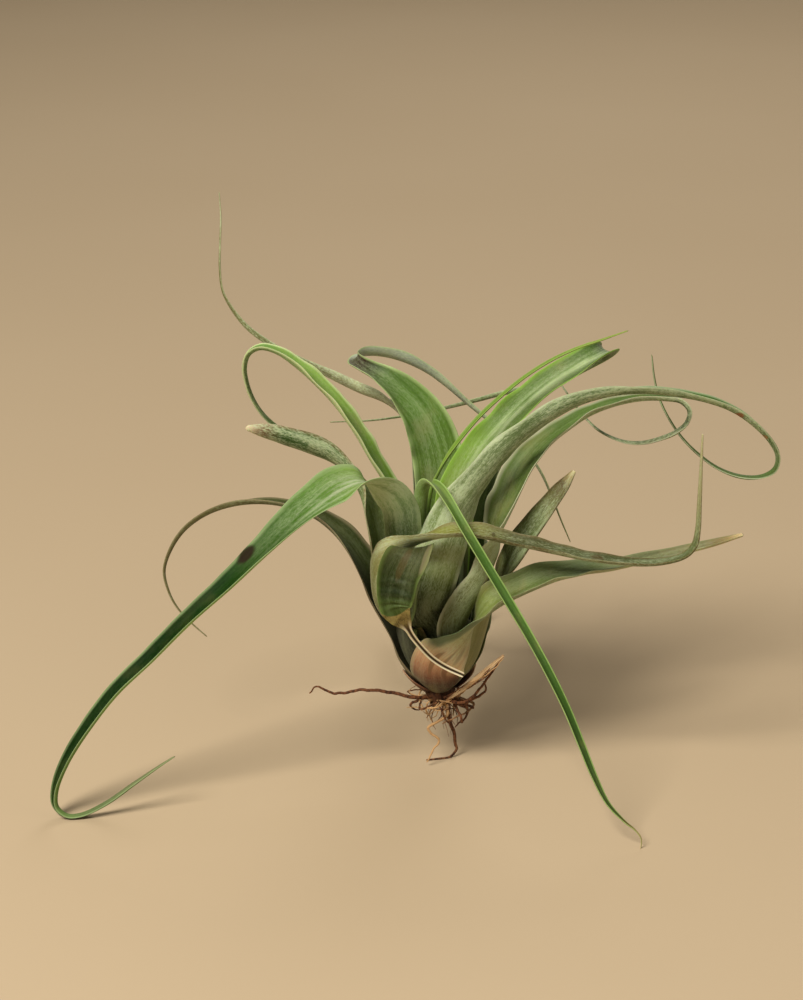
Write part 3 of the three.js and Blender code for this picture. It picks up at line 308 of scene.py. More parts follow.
STRAND_STATIONS = ((2.1, -2.4, -4.6, 1.6), (5.4, -0.6, -8, 1.9), (9.6, 2.4, -11.5, 1.8),
                   (14.4, 6.4, -14, 1.5), (19, 10.2, -15.5, 1))
ROOT_STEPS = 8
ROOT_SIDES = 9
ROOT_STEP = 0.5
ROOT_WANDER = 1.6
ROOT_KNOTS = 0.12
WANDER_SCALE, KNOT_SCALE = 260.0, 1400.0
ROOT_TONES, ROOT_BLEACHED = ("2c150a", "7a4c2e"), "c09a6c"
ROOT_GRAIN = (1100.0, 1100.0, 700.0)
ROOT_RELIEF = 0.12


def park_miller(seed):
    """Repeatable draws from 0 to 1."""
    while True:
        seed = seed * 16807 % 2147483647
        yield seed / 2147483647


def round_foot(radius, turn, depth):
    return (radius * math.cos(turn), radius * math.sin(turn), FOOT_HEIGHT - depth)


def tangle_routes():
    draw = park_miller(TANGLE_SEED)
    for _ in range(TANGLE_COUNT):
        turn = 2 * math.pi * next(draw)
        reach = TANGLE_REACH[0] + TANGLE_REACH[1] * next(draw)
        drop = TANGLE_DROP[0] + TANGLE_DROP[1] * next(draw)
        middle, end = (turn + most * (next(draw) - 0.5) for most in TANGLE_TURNS)
        fall = drop + TANGLE_FALL * next(draw)
        yield (round_foot(3, turn, 1), round_foot(reach, middle, drop),
               round_foot(TANGLE_CURL * reach, end, fall))


def rootlet_routes():
    """Loose rootlets, short strands of the core, frayed fibres, and roots that hang down."""
    draw = random.Random(ROOTLET_SEED)
    for _ in range(ROOTLET_COUNT):
        turn = draw.uniform(0, 2 * math.pi)
        route = [round_foot(draw.uniform(*ROOTLET_START), turn, 2.0)]
        drop = 1.5
        swing = draw.choice((-1, 1)) * draw.uniform(*ROOTLET_SWING)
        reach = draw.uniform(*ROOTLET_REACH)
        for _ in range(draw.randint(*ROOTLET_BENDS)):
            turn += swing * draw.uniform(*ROOTLET_TURN)
            drop += draw.uniform(*ROOTLET_DROP)
            depth = min(max(drop, ROOTLET_DEPTHS[0]), ROOTLET_DEPTHS[1])
            route.append(round_foot(reach * draw.uniform(*ROOTLET_CURL), turn, depth))
        yield route
    for _ in range(CORE_COUNT):
        turn = draw.uniform(0, 2 * math.pi)
        route = [round_foot(draw.uniform(*CORE_RADII[0]), turn, CORE_DEPTHS[0])]
        for radii, most, depths in zip(CORE_RADII[1:], CORE_TURNS, CORE_DEPTHS[1:]):
            route.append(round_foot(draw.uniform(*radii), turn + draw.uniform(-most, most),
                                    draw.uniform(*depths)))
        yield route
    for _ in range(FRAY_COUNT):
        last = draw.randint(2, len(STRAND_STATIONS) - 1)
        yield [seen(right + draw.uniform(*FRAY_RIGHT), up + draw.uniform(*FRAY_UP),
                    back + draw.uniform(*FRAY_BACK))
               for right, up, back, _ in STRAND_STATIONS[:last + 1]]
    for _ in range(HANGING_COUNT):
        right, up, back = draw.uniform(*HANGING_RIGHT), HANGING_TOP, draw.uniform(*HANGING_BACK)
        route = [seen(right, up, back)]
        for _ in range(draw.randint(*HANGING_BENDS)):
            right += draw.uniform(*HANGING_SWAY)
            up -= draw.uniform(*HANGING_DROP)
            route.append(seen(right, up, back))
        yield route


def root_paths():
    """Points, edges and values of every root's middle line."""
    draw = random.Random(PALENESS_SEED)
    strands = [(radius, pale, [seen(*spot) for spot in route])
               for radius, pale, route in ROOT_ROUTES]
    strands.append((TABLE_ROOT_RADIUS, TABLE_ROOT_PALENESS, TABLE_ROOT))
    strands += [(TANGLE_RADIUS, draw.random() * TANGLE_PALENESS, route)
                for route in tangle_routes()]
    strands += [(draw.uniform(*ROOTLET_RADII), draw.random(), route)
                for route in rootlet_routes()]
    points, edges, thick, loose, bleach = [], [], [], [], []
    for radius, pale, route in strands:
        path = curve_through(route, ROOT_STEPS)
        first = len(points)
        part = np.linspace(0, 1, len(path))
        points.extend(path)
        edges.extend((first + n, first + n + 1) for n in range(len(path) - 1))
        thick.extend(radius * MILLIMETRE * (1.15 - 0.75 * part ** 1.5))
        loose.extend(np.minimum(part * 3, 1) * (0.0 if route is TABLE_ROOT else 1.0))
        bleach.extend([pale] * len(path))
    values = {"thick": thick, "loose": loose, "bleach": bleach}
    return plain_mesh("roots", points, [], values, edges)


def new_tree(name, inputs):
    tree = bpy.data.node_groups.new(name, "GeometryNodeTree")
    tree.interface.new_socket("Geometry", in_out="INPUT", socket_type="NodeSocketGeometry")
    for label, kind in inputs.items():
        tree.interface.new_socket(label, in_out="INPUT", socket_type="NodeSocket" + kind)
    tree.interface.new_socket("Geometry", in_out="OUTPUT", socket_type="NodeSocketGeometry")
    outside = tree.nodes.new("NodeGroupInput").outputs
    return tree, {socket.name: Wire(tree, socket) for socket in outside if socket.name}


def close_tree(shape, material):
    """Ends a tree with plain faces of one material."""
    shape = shape.node("GeometryNodeSetShadeSmooth", None, {"Geometry": shape})
    shape = shape.node("GeometryNodeRealizeInstances", None, {"Geometry": shape})
    shape = shape.node("GeometryNodeSetMaterial", None, {"Geometry": shape, "Material": material})
    ending = shape.tree.nodes.new("NodeGroupOutput")
    shape.tree.links.new(shape.socket, ending.inputs[0])


def strand_tree():
    """Round strands along paths: each wanders, tapers and has a knotted surface."""
    tree, given = new_tree("strands along paths", {
        "Step": "Float", "Wander": "Float", "Knots": "Float", "Sides": "Int",
        "Finish": "Material"})
    wire = given["Geometry"]

    def moved(shape, offset):
        return wire.node("GeometryNodeSetPosition", None, {"Geometry": shape, "Offset": offset})

    def kept(name):
        return wire.node("GeometryNodeInputNamedAttribute", None, {"Name": name})

    path = wire.node("GeometryNodeMeshToCurve", None, {"Mesh": wire})
    path = wire.node("GeometryNodeResampleCurve", {"mode": "LENGTH"},
                     {"Curve": path, "Length": given["Step"]})
    spot = wire.node("GeometryNodeInputPosition")
    drift = wire.node("ShaderNodeTexNoise", None, {
        "Vector": spot, "Scale": WANDER_SCALE, "Detail": 2.0}, "Color")
    drift = wire.vectors("SUBTRACT", {0: drift, 1: (0.5, 0.5, 0.5)})
    path = moved(path, drift.shade(given["Wander"] * kept("loose")))
    outline = wire.node("GeometryNodeCurvePrimitiveCircle", None,
                        {"Resolution": given["Sides"], "Radius": 1.0})
    shape = wire.node("GeometryNodeCurveToMesh", None, {
        "Curve": path, "Profile Curve": outline, "Scale": kept("thick"), "Fill Caps": True})
    knots = wire.node("ShaderNodeTexNoise", None, {
        "Vector": spot, "Scale": KNOT_SCALE, "Detail": 2.0})
    out = wire.node("GeometryNodeInputNormal")
    shape = moved(shape, out.shade((knots - 0.5) * given["Knots"]))
    close_tree(shape, given["Finish"])
    return tree


def grow(piece, tree, inputs):
    """Runs a tree on a piece and leaves it with the plain mesh that results."""
    modifier = piece.modifiers.new("growth", "NODES")
    modifier.node_group = tree
    for item in tree.interface.items_tree:
        if item.in_out == "INPUT" and item.name in inputs:
            modifier[item.identifier] = inputs[item.name]
    found = piece.evaluated_get(bpy.context.evaluated_depsgraph_get())
    mesh = bpy.data.meshes.new_from_object(found)
    piece.modifiers.remove(modifier)
    piece.data = mesh


def on_table(mesh, lowest=0.0):
    """Presses flat what would lie below the table."""
    spots = np.empty(len(mesh.vertices) * 3, dtype=np.float32)
    mesh.vertices.foreach_get("co", spots)
    spots[2::3] = np.maximum(spots[2::3], lowest)
    mesh.vertices.foreach_set("co", spots)
    mesh.update()


def root_finish():
    material, wire, shader = finish("root skin", {"Specular IOR Level": 0.3})
    grain = wire.place().noise(ROOT_GRAIN, 4.0, 0.6)
    pale = (wire.attribute("bleach") + 0.5 * grain).step(0.6, 1.15)
    colour = grain.step(0.3, 0.7).mix(*map(tone, ROOT_TONES))
    colour = pale.mix(colour, tone(ROOT_BLEACHED))
    dress(wire, shader, colour, 0.85 - 0.2 * grain, grain, ROOT_RELIEF)
    return material


roots = new_piece("roots", root_paths())
grow(roots, strand_tree(), {
    "Step": ROOT_STEP * MILLIMETRE, "Wander": ROOT_WANDER * MILLIMETRE,
    "Knots": ROOT_KNOTS * MILLIMETRE, "Sides": ROOT_SIDES, "Finish": root_finish()})
on_table(roots.data)
fit(roots, "stem_and_roots")

# Leaves: each is one long blade, channelled above and rounded below, that widens at its base into
# a sheath round the stem and thins out to a curling whip. The skin is green under grey scurf.
HEART_HEIGHT = 13.0
LEVEL_DROP = 2.2
SHEATH_START, SHEATH_FULL = (3, 0.4), (6.2, 2.1)  # radius at the heart, and more each level
SHEATH_HALF = math.radians(50)
SHEATH_HEIGHTS = (0, 4, 9, 15, 22, 30)
SHEATH_SWELL = 9.0
SHEATH_WIDENING = 1.25
JOIN_LENGTH = 5.0
ARC_LEAST, ARC_NARROW, ARC_BROAD = 60.0, (80, 27), (165, -6)
BLADE_STRIPS = ((5, 12), (11, 22), (math.inf, 30))  # widths up to this have so many
BLADE_MIDDLE = 0.42
BLADE_SWELL = 0.022
BLADE_MARGIN = 0.2
NARROWEST = 0.5
TIP_LENGTH = 0.5
RING_LENGTH = 1.3
RING_TURN = math.radians(3.2)
CURVE_STEPS = 24
MARGIN_CROWDING = 0.35
RIPPLE_WAVES = 3
RIPPLE_LENGTHS, RIPPLE_WIDTHS, RIPPLE_ROWS = (9, 26), (1.5, 6.0), (1.5, 5.0)
CREASE_FADE = 0.8
LAY_WIDTH, LAY_LENGTH = 20, 10
STREAKS, RIBS, BANDS = (7.0, 0.3, 1.0), (26.0, 0.7, 1.0), (0.6, 5.0, 1.0)
SCALES, PATCHES = (46.0, 10.0, 1.0), (1.6, 1.0, 1.0)
SCURF_TONE, AGED_TONE, SHEEN_TONE = "bac8a4", "8f7d43", "e4e6bc"
DRIED_TONE, CHANNEL_TONE, RAIL_TONE = "4a3c1c", "3a2c1a", "ece2c4"
LEAF_RELIEF = 0.14


def attach_height(level):
    return HEART_HEIGHT - LEVEL_DROP * level


def sheath_row(level, azimuth, height, width):
    """Place, width, arc and upper face of a sheath at a height above the foot."""
    swell = 1 - math.exp(-(height - attach_height(level)) / SHEATH_SWELL)
    inner, outer = (least + more * level for least, more in (SHEATH_START, SHEATH_FULL))
    radius = inner + (outer - inner) * swell
    chord = min(width, 2 * radius * math.sin(SHEATH_HALF))
    half = math.asin(chord / (2 * radius))
    middle = radius - chord / 2 * math.tan(half / 2) / 2
    cos, sin = math.cos(azimuth), math.sin(azimuth)
    return (middle * cos, middle * sin, FOOT_HEIGHT + height, chord, 2 * half, -cos, -sin, 0.0)


def leaf_rows(level, azimuth, stations, on_floor, opened):
    """Rows of a sheath and its blade. A station that gives no face keeps the one before."""
    rows = []
    for n, (a, b, c, width, *face) in enumerate(stations):
        facing = [part / 100 for part in face] or facing
        arc = max(ARC_LEAST, min(base + more * width for base, more in (ARC_BROAD, ARC_NARROW)))
        rows.append((*((a, b, c) if on_floor else seen(a, b, c)), width,
                     math.radians(arc) * opened.get(n, 1.0),
                     *(facing if on_floor else in_view(*facing))))
    reach = rows[0][2] - FOOT_HEIGHT
    base = attach_height(level)
    wide = SHEATH_WIDENING * stations[0][3]
    heights = [base + h for h in SHEATH_HEIGHTS if h == 0 or base + h < reach - JOIN_LENGTH]
    return [sheath_row(level, math.radians(azimuth), h, wide) for h in heights] + rows


def smooth(value, low, high):
    part = np.clip((value - low) / (high - low), 0.0, 1.0)
    return part * part * (3.0 - 2.0 * part)


def unit(vectors):
    return vectors / np.linalg.norm(vectors, axis=1)[:, None]


def square_frame(at, face):
    """Directions along a blade and across it, with its upper face set square to both."""
    along = unit(np.gradient(at, axis=0))
    face = unit(face - along * np.sum(face * along, axis=1)[:, None])
    return along, face, np.cross(along, face)


def rings_along(rows):
    """Even rings along a blade, closer together where it bends."""
    fine = curve_through(rows, CURVE_STEPS)
    row = np.linspace(0, len(rows) - 1, len(fine))
    along, face, _ = square_frame(fine[:, :3], fine[:, 5:8])
    length, bend, twist = (np.linalg.norm(np.diff(values, axis=0), axis=1)
                           for values in (fine[:, :3], along, face))
    cost = np.cumsum(length / RING_LENGTH + (bend + twist / 2) / RING_TURN)
    cost = np.concatenate(((0.0,), cost))
    wanted = np.linspace(0, cost[-1], math.ceil(cost[-1]) + 1)
    run = np.concatenate(((0.0,), np.cumsum(length)))
    table = np.column_stack((fine, row, run))
    return np.column_stack([np.interp(wanted, cost, column) for column in table.T])


def blade_mesh(name, rows, strips, seed, ripple, folds=()):
    """A closed blade. Its points know how far along and across they lie, and on which face."""
    rings = rings_along(rows)
    at, width, arc, row, run = rings[:, :3], rings[:, 3], rings[:, 4], rings[:, 8], rings[:, 9]
    along, face, side = square_frame(at, rings[:, 5:8])
    even = np.linspace(-1, 1, strips + 1)
    crowded = np.sin(even * math.pi / 2)
    across = crowded * MARGIN_CROWDING + even * (1 - MARGIN_CROWDING)
    chord = np.maximum(width, NARROWEST)
    radius = chord / (2 * np.sin(arc / 2))
    angle = across[None, :] * arc[:, None] / 2
    rise = radius[:, None] * (1 - np.cos(angle)) - (chord / 4 * np.tan(arc / 4))[:, None]
    reach = radius[:, None] * np.sin(angle)
    draw = random.Random(seed)
    for edge in (-1, 1):
        waves = sum(np.sin(run * 2 * math.pi / draw.uniform(*RIPPLE_LENGTHS)
                           + draw.uniform(0, 6.28)) for _ in range(RIPPLE_WAVES))
        lift = ripple * chord * waves * smooth(chord, *RIPPLE_WIDTHS) * smooth(row, *RIPPLE_ROWS)
        rise += lift[:, None] * np.clip(edge * across, 0, 1)[None, :] ** 3
    for start, end, depth, count in folds:
        window = smooth(row, start, start + CREASE_FADE) * (1 - smooth(row, end - CREASE_FADE, end))
        crease = np.sin((row - start) / (end - start) * count * 2 * math.pi)
        rise += depth * (window * crease)[:, None] * np.cos(across * 1.2)[None, :]
    cos, sin = np.cos(angle)[:, :, None], np.sin(angle)[:, :, None]
    up, aside = face[:, None, :], side[:, None, :]
    out = up * cos - aside * sin
    middle = at[:, None, :] + up * rise[:, :, None] + aside * reach[:, :, None]
    thick = np.minimum(BLADE_MIDDLE + BLADE_SWELL * width, 0.55 * chord)
    margin = np.minimum(BLADE_MARGIN, 0.35 * chord)
    half = (thick[:, None] + (margin - thick)[:, None] * across[None, :] ** 2) / 2
    lip = side * margin[:, None] * 0.45
    loop = np.concatenate((middle + out * half[:, :, None], (middle[:, -1] + lip)[:, None, :],
                           (middle - out * half[:, :, None])[:, ::-1],
                           (middle[:, 0] - lip)[:, None, :]), axis=1)
    count, size = loop.shape[:2]
    ones = np.ones(strips + 1)
    faces_up = np.concatenate((ones, (0.5,), 0 * ones, (0.5,)))
    over = np.concatenate((across, (1.0,), across[::-1], (-1.0,)))
    points = np.vstack((loop.reshape(-1, 3), at[0], at[-1] + along[-1] * TIP_LENGTH))
    first, last = len(points) - 2, len(points) - 1
    lay = np.stack((np.outer(chord / LAY_WIDTH, over),
                    np.repeat(run[:, None] / LAY_LENGTH, size, axis=1),
                    np.full((count, size), seed * 3.7)), axis=2).reshape(-1, 3)
    values = {
        "across": np.concatenate((np.tile(over, count), (0, 0))),
        "along": np.concatenate((np.repeat(row / row[-1], size), (0, 1))),
        "side": np.concatenate((np.tile(faces_up, count), (0.5, 0.5))),
        "lay": np.vstack((lay, lay[:1], lay[-1:])),
    }
    faces = tube_faces(count, size)
    for j in range(size):
        k = (j + 1) % size
        faces += [(first, k, j), (last, first - size + j, first - size + k)]
    return plain_mesh(name, points, faces, values)


def mesh_values(mesh, label):
    numbers = np.empty(len(mesh.vertices), dtype=np.float32)
    mesh.attributes[label].data.foreach_get("value", numbers)
    return numbers


def leaf_finish(name, spots, upper, under, frost, edge, stripe=None, ageing=0.25, marks=(),
                dying=None, worn=None, gloss=0.22):
    """Leaf skin: colours along both faces, some with painted shade and light in them, fine ribs,
    cross bands, scurf, margin colours, age.
    """
    material, wire, shader = finish(name, {
        "Specular IOR Level": gloss, "Sheen Weight": 0.55 * gloss, "Sheen Roughness": 0.45,
        "Sheen Tint": tone(SHEEN_TONE), "Subsurface Weight": 0.1,
        "Subsurface Radius": (0.5, 1.0, 0.2), "Subsurface Scale": 0.0012})
    along, across, side = (wire.attribute(label) for label in ("along", "across", "side"))
    lay = wire.attribute("lay", "Vector")
    streak = lay.noise(STREAKS, 3.0, 0.55)
    rib = lay.noise(RIBS)
    grain = lay.noise(SCALES, 3.0, 0.7)
    patch = lay.noise(PATCHES, 3.0)
    band = lay.noise(BANDS)
    reach = abs(across)

    def upto(start, end):
        return along.step(spots(start), spots(end))

    colour = side.mix(*(along.ramp((spots(at), code) for at, code in colours.items())
                        for colours in (under, upper)))
    colour = (patch.step(0.5, 0.78) * ageing).mix(colour, tone(AGED_TONE))
    if stripe:
        width, code, strength = stripe
        silky = (streak + 0.4 * (patch - 0.5)).step(0.3, 0.65) * strength
        if worn:
            silky = silky * (1 - upto(worn - 4, worn - 1))
        colour = ((1 - reach.step(0.0, width)) * side * silky).mix(colour, tone(code))
    colour = colour.shade(0.42 + 0.6 * streak + 0.55 * rib + 0.1 * (band - 0.5))
    code, strength = edge
    colour = (reach.step(0.75, 0.98) * (0.3 + streak) * strength).mix(colour, tone(code))
    scurf = (grain + 0.7 * (streak - 0.5) + 0.5 * (patch - 0.5)).step(0.32, 0.72)
    scurf = scurf * (1 - 0.6 * side * reach.step(0.4, 0.9))
    scurf = scurf * (side * (frost[0] - frost[1]) + frost[1]) * (0.3 + 0.7 * upto(-0.5, 3))
    if worn:
        scurf = scurf * (1 - 0.95 * upto(worn - 3, worn))
    colour = scurf.mix(colour, tone(SCURF_TONE))
    if dying:
        start, code, bow = dying
        bowed = reach * reach * (spots(start) - spots(start - bow))
        dead = along + bowed + 0.008 * (rib - 0.5)
        dead = dead.step(spots(start) - 0.004, spots(start) + 0.003)
        dried = (0.6 * grain + 0.4 * band).step(0.35, 0.6).mix(tone(DRIED_TONE), tone(code))
        rails = reach.step(0.3, 0.8).mix(tone(CHANNEL_TONE), tone(RAIL_TONE))
        colour = dead.mix(colour, upto(start + 0.8, start + 2.2).mix(dried, rails))
    for at, over, size, code, strength in marks:
        far_along = (along - spots(at)) * (1.0 / size[0])
        far_across = (across - over) * (1.0 / size[1])
        off = far_along * far_along + far_across * far_across + 1.2 * (patch - 0.5)
        colour = ((1 - off.step(0.25, 1.0)) * strength).mix(colour, tone(code))
    height = streak * 0.6 + rib * 0.4 + band * 0.4 + grain * 0.3
    dress(wire, shader, colour, 0.48 + 0.35 * scurf + 0.1 * rib, height, LEAF_RELIEF)
    return material


leaf_numbers = itertools.count(1)


def grow_leaf(node, level, azimuth, slot, stations, upper, under, frost=(0.35, 0.6),
              edge=("c3c9a8", 0.45), on_floor=False, opened=(), ripple=0.02, folds=(), **looks):
    """One leaf. Its colours, marks and folds go by station, from -1 at the sheath's base.

    Each station is seen from the front as right, up and back of the foot, with the width and
    the way that the upper face looks: right, up and near in hundredths. On the floor both go by
    X, Y and Z.
    """
    rows = leaf_rows(level, azimuth, stations, on_floor, dict(opened))
    sheath = len(rows) - len(stations)

    def spots(station):
        return max(0.0, (sheath + station) / (len(rows) - 1)) if station > -1 else 0.0

    widest = max(row[3] for row in rows)
    strips = next(count for limit, count in BLADE_STRIPS if widest < limit)
    folds = [(sheath + start, sheath + end, *shape) for start, end, *shape in folds]
    mesh = blade_mesh(node, rows, strips, next(leaf_numbers), ripple, folds)
    on_table(mesh, mesh_values(mesh, "side") * BLADE_MARGIN * MILLIMETRE)
    skin = leaf_finish(node.replace("_", " ") + " skin", spots, upper, under, frost, edge, **looks)
    fit(new_piece(node.replace("leaf_", "blade_"), mesh, skin), node)


# Heart leaves: the three youngest stand in the middle of the rosette. They are narrow, bright
# green and hardly scurfy. One is a thin spike, one arches over and hangs in front.
grow_leaf("leaf_young_spike", 0, 270, "leaf_green", (
    (-2.7, 39, -2, 2.2, 0, 0, -100), (-3.9, 48.9, -2, 2.2, -20, 20, -90),
    (-3.6, 56.1, -2, 2.2, -50, 30, -70), (-1.8, 62.4, -1.5, 2, -70, 50, -20),
    (1.8, 69.3, -0.5, 1.9, -65, 60, 30), (6.3, 75.6, 0.5, 1.8, -50, 65, 50), (11.7, 81.9, 2.5, 1.7),
    (17.7, 87.6, 4.5, 1.6), (24.6, 93.3, 6.5, 1.5, -45, 70, 50),
    (32.4, 98.4, 8.5, 1.4, -40, 75, 50), (40.5, 102.3, 10.5, 1.2, -35, 80, 50),
    (48, 104.9, 12, 0.9), (56.1, 107.7, 13.5, 0.4),
),
    upper={-1: "33300f", 1: "5f741e", 3: "6c8e28", 9: "6c8e30", 12: "84963c"},
    under={-1: "5c6424", 3: "74962f", 12: "84963c"},
    frost=(0.1, 0.15), edge=("a0bc5c", 0.4))
grow_leaf("leaf_front_drooping", 0, 215, "leaf_green", (
    (-5.7, 39, -4, 4, 40, 0, -90), (-6, 48, -5.5, 4, 30, 10, -95), (-6, 55.5, -7, 4, 20, 40, -90),
    (-5.1, 60.6, -9.5, 3.8, 10, 80, -55), (-3.3, 62.6, -13, 3.6, 10, 100, 0),
    (-0.9, 61.2, -17, 3.6, 25, 80, 50), (1.6, 57.9, -21, 3.5, 40, 50, 75),
    (4.2, 53.7, -24.5, 3.1, 45, 35, 80), (7.1, 48.6, -27.5, 3.1), (13.2, 38.4, -31.5, 3.1),
    (20.4, 26.4, -36, 3), (27, 15.3, -40, 2.9), (33.3, 3.6, -44, 2.8), (38.1, -6.3, -47, 2.6),
    (42.3, -16.5, -50, 2.4), (46.2, -26.1, -53, 2.1, 45, 40, 75),
    (50.4, -34.2, -55.5, 1.5, 45, 50, 70), (55.5, -39.6, -57, 0.9, 45, 60, 65),
    (58.5, -42, -57.5, 0.6, 55, 60, 50), (60.3, -44.5, -57.8, 0.5, 80, 20, 50),
    (60.3, -47.5, -57.8, 0.4, 90, 0, 40),
),
    upper={-1: "2a260e", 0.6: "46521e", 3: "6a8436", 9: "41641e", 14: "2f4f14",
           16.5: "3c4c1a", 17.5: "6e4c24", 18.5: "b08a60", 20: "d8b694"},
    under={-1: "2e2a12", 0.6: "5c6c30", 3: "728e44", 8: "6c8a3e", 16: "4d6a2c",
           17.5: "7a5a2e", 18.5: "b08a60", 20: "d8b694"},
    frost=(0.05, 0.25), edge=("9ab86a", 0.95), stripe=(0.5, "27430f", 0.7))
grow_leaf("leaf_green_loop_left", 0, 150, "leaf_green", (
    (-6.9, 37.5, 2, 5.5, 80, -10, 50), (-8.4, 45.9, 2, 6.9, 85, 10, 50),
    (-11, 54, 1.5, 7.1, 85, 25, 45), (-14.8, 61.8, 1, 7.1, 80, 40, 40),
    (-19.4, 69.3, 0, 7.1, 75, 45, 50), (-24, 77.1, -1, 6.9, 70, 50, 50),
    (-29.4, 84.9, -2, 7, 65, 60, 50), (-35.7, 91.8, -2.5, 6.6, 60, 65, 45),
    (-42.6, 97.8, -2.5, 5.6, 50, 75, 40), (-48.6, 101.7, -2, 4.4, 25, 90, 35),
    (-53.7, 102.9, -1, 3.6, -20, 90, 30), (-57.3, 101.1, 0.5, 3.1, -70, 65, 20),
    (-58.7, 96.9, 2.5, 2.9, -100, 10, 20), (-57.9, 91.5, 4.5, 2.8, -95, -20, 15),
    (-55.8, 86.4, 6.5, 2.7, -90, -40, 10), (-52.8, 82.2, 8.5, 2.6, -80, -55, 5),
    (-48.6, 78.6, 10.5, 2.5, -70, -70, 0), (-42.9, 75.3, 12, 2.2, -50, -85, 0),
    (-36.9, 72, 13, 1.6), (-31.2, 68.4, 13.5, 0.7),
),
    upper={-1: "46581c", 1: "6c9028", 4: "6c9030", 7: "84a84c", 10: "5c8232", 13: "3f5c22",
           19: "4a5c28"},
    under={-1: "6c7c44", 1: "93a868", 6: "98ac70", 10: "5c7a3e", 13: "4c6430", 19: "4a5c28"},
    frost=(0.2, 0.4), edge=("ccd8a4", 0.95), stripe=(0.7, "4c7420", 0.7))

# Inner leaves: broad, arching blades round the heart. Those behind stand up and show their pale
# channels, and those in front show their scurfy backs.
grow_leaf("leaf_centre_green", 1, 50, "leaf_green", (
    (5.1, 37.5, 6.5, 10, -60, -20, 75), (4.2, 45.9, 6.5, 12, -40, 0, 90),
    (4.8, 54.6, 7, 13, -35, 15, 90), (7.5, 63.3, 8, 13, -40, 20, 88),
    (12.3, 72, 9.5, 11.5, -45, 30, 85), (18.6, 79.8, 11.5, 10.2, -45, 35, 80),
    (25.8, 86.7, 13.5, 9.6, -40, 45, 80), (33.3, 92.7, 15.5, 9.2, -35, 55, 75),
    (40.8, 97.5, 18, 8.8, -30, 60, 75), (46.8, 101.1, 20.5, 8.4, -15, 75, 65),
    (50.1, 102.6, 24.5, 7.2, 20, 90, 40), (50.1, 101.7, 29, 5.2, 50, 70, -30),
    (47.4, 99.6, 33, 3.6, 60, 20, -80), (42, 96, 36, 2.2, 50, -10, -85),
    (38.4, 93.3, 37.5, 1, 45, -20, -85),
),
    upper={-1: "1e1a0a", 0: "34380f", 1: "55681e", 2.4: "748e32", 4: "789a3a", 5: "5e7c30",
           6: "56722c", 8: "5c763a", 9: "4c682a", 10: "2c3c18", 14: "5a6838"},
    under={-1: "4a4a24", 1: "6a7e40", 8: "6f8a48", 11: "46582a", 14: "5a6838"},
    frost=(0.3, 0.35), edge=("86b03c", 0.9), stripe=(0.55, "b4c694", 0.65))
grow_leaf("leaf_long_left", 1, 205, "leaf_silver", (
    (-10.8, 39, -5, 11, 35, -10, -93), (-11.8, 48.6, -8, 12), (-12.9, 54.6, -12, 12, 28, 32, -87),
    (-16.8, 60.3, -16, 12, 10, 75, -35), (-23.4, 63.6, -19, 12, -7, 85, 35),
    (-30.6, 61.2, -21, 12.6, -15, 50, 80), (-36.6, 57.3, -23, 12, -30, 50, 75),
    (-44.7, 50.7, -25.5, 10.8, -45, 55, 70), (-53.9, 41.7, -28, 9.2, -55, 55, 60),
    (-63.6, 32.2, -30.5, 7.6), (-75, 21.9, -33, 6.4), (-87, 9.9, -35, 6),
    (-97.5, -0.3, -36.5, 5.6, -60, 50, 55), (-105.9, -11.1, -37.5, 5.2, -65, 45, 55),
    (-112.5, -21.9, -38.5, 4.6, -75, 35, 50), (-115.5, -30.3, -39, 4, -95, 0, 40),
    (-115.2, -35.1, -39.3, 3.5, -85, -50, 30), (-111.9, -37.8, -39.3, 3.1, -40, -90, 20),
    (-107.4, -37.5, -39, 2.9, 20, -95, 10), (-99.9, -33.9, -38, 2.7, 40, -85, 10),
    (-91.8, -28.2, -37, 2.3, 50, -80, 10), (-84, -22.8, -36, 1.4), (-79.8, -20.1, -35.5, 0.7),
),
    # Partly painted shade: from station 9 on, the upper face is the leaf's dark green, deepened to
    # near black for the shade in its channel.
    upper={-1: "3c4a1c", 2: "66803c", 4: "6e8c38", 5: "587c2a", 6: "4e7426", 7.5: "34541a",
           9: "123206", 11: "0b2604", 14: "0e2806", 17: "263c10", 22: "4c5a28"},
    under={-1: "3f4020", 0: "465a2e", 1: "54683a", 2.5: "88a470", 4: "8a9e68", 8: "86a452",
           12: "7a9e48", 15: "5c7c38", 19: "5c6a44", 22: "7a7c58"},
    frost=(0.35, 0.75), edge=("93a878", 0.8), stripe=(0.85, "8c967a", 0.9), ripple=0.007,
    ageing=0.05, worn=9, gloss=0.06, marks=((8.3, 0.7, (0.012, 0.42), "221406", 0.95),))
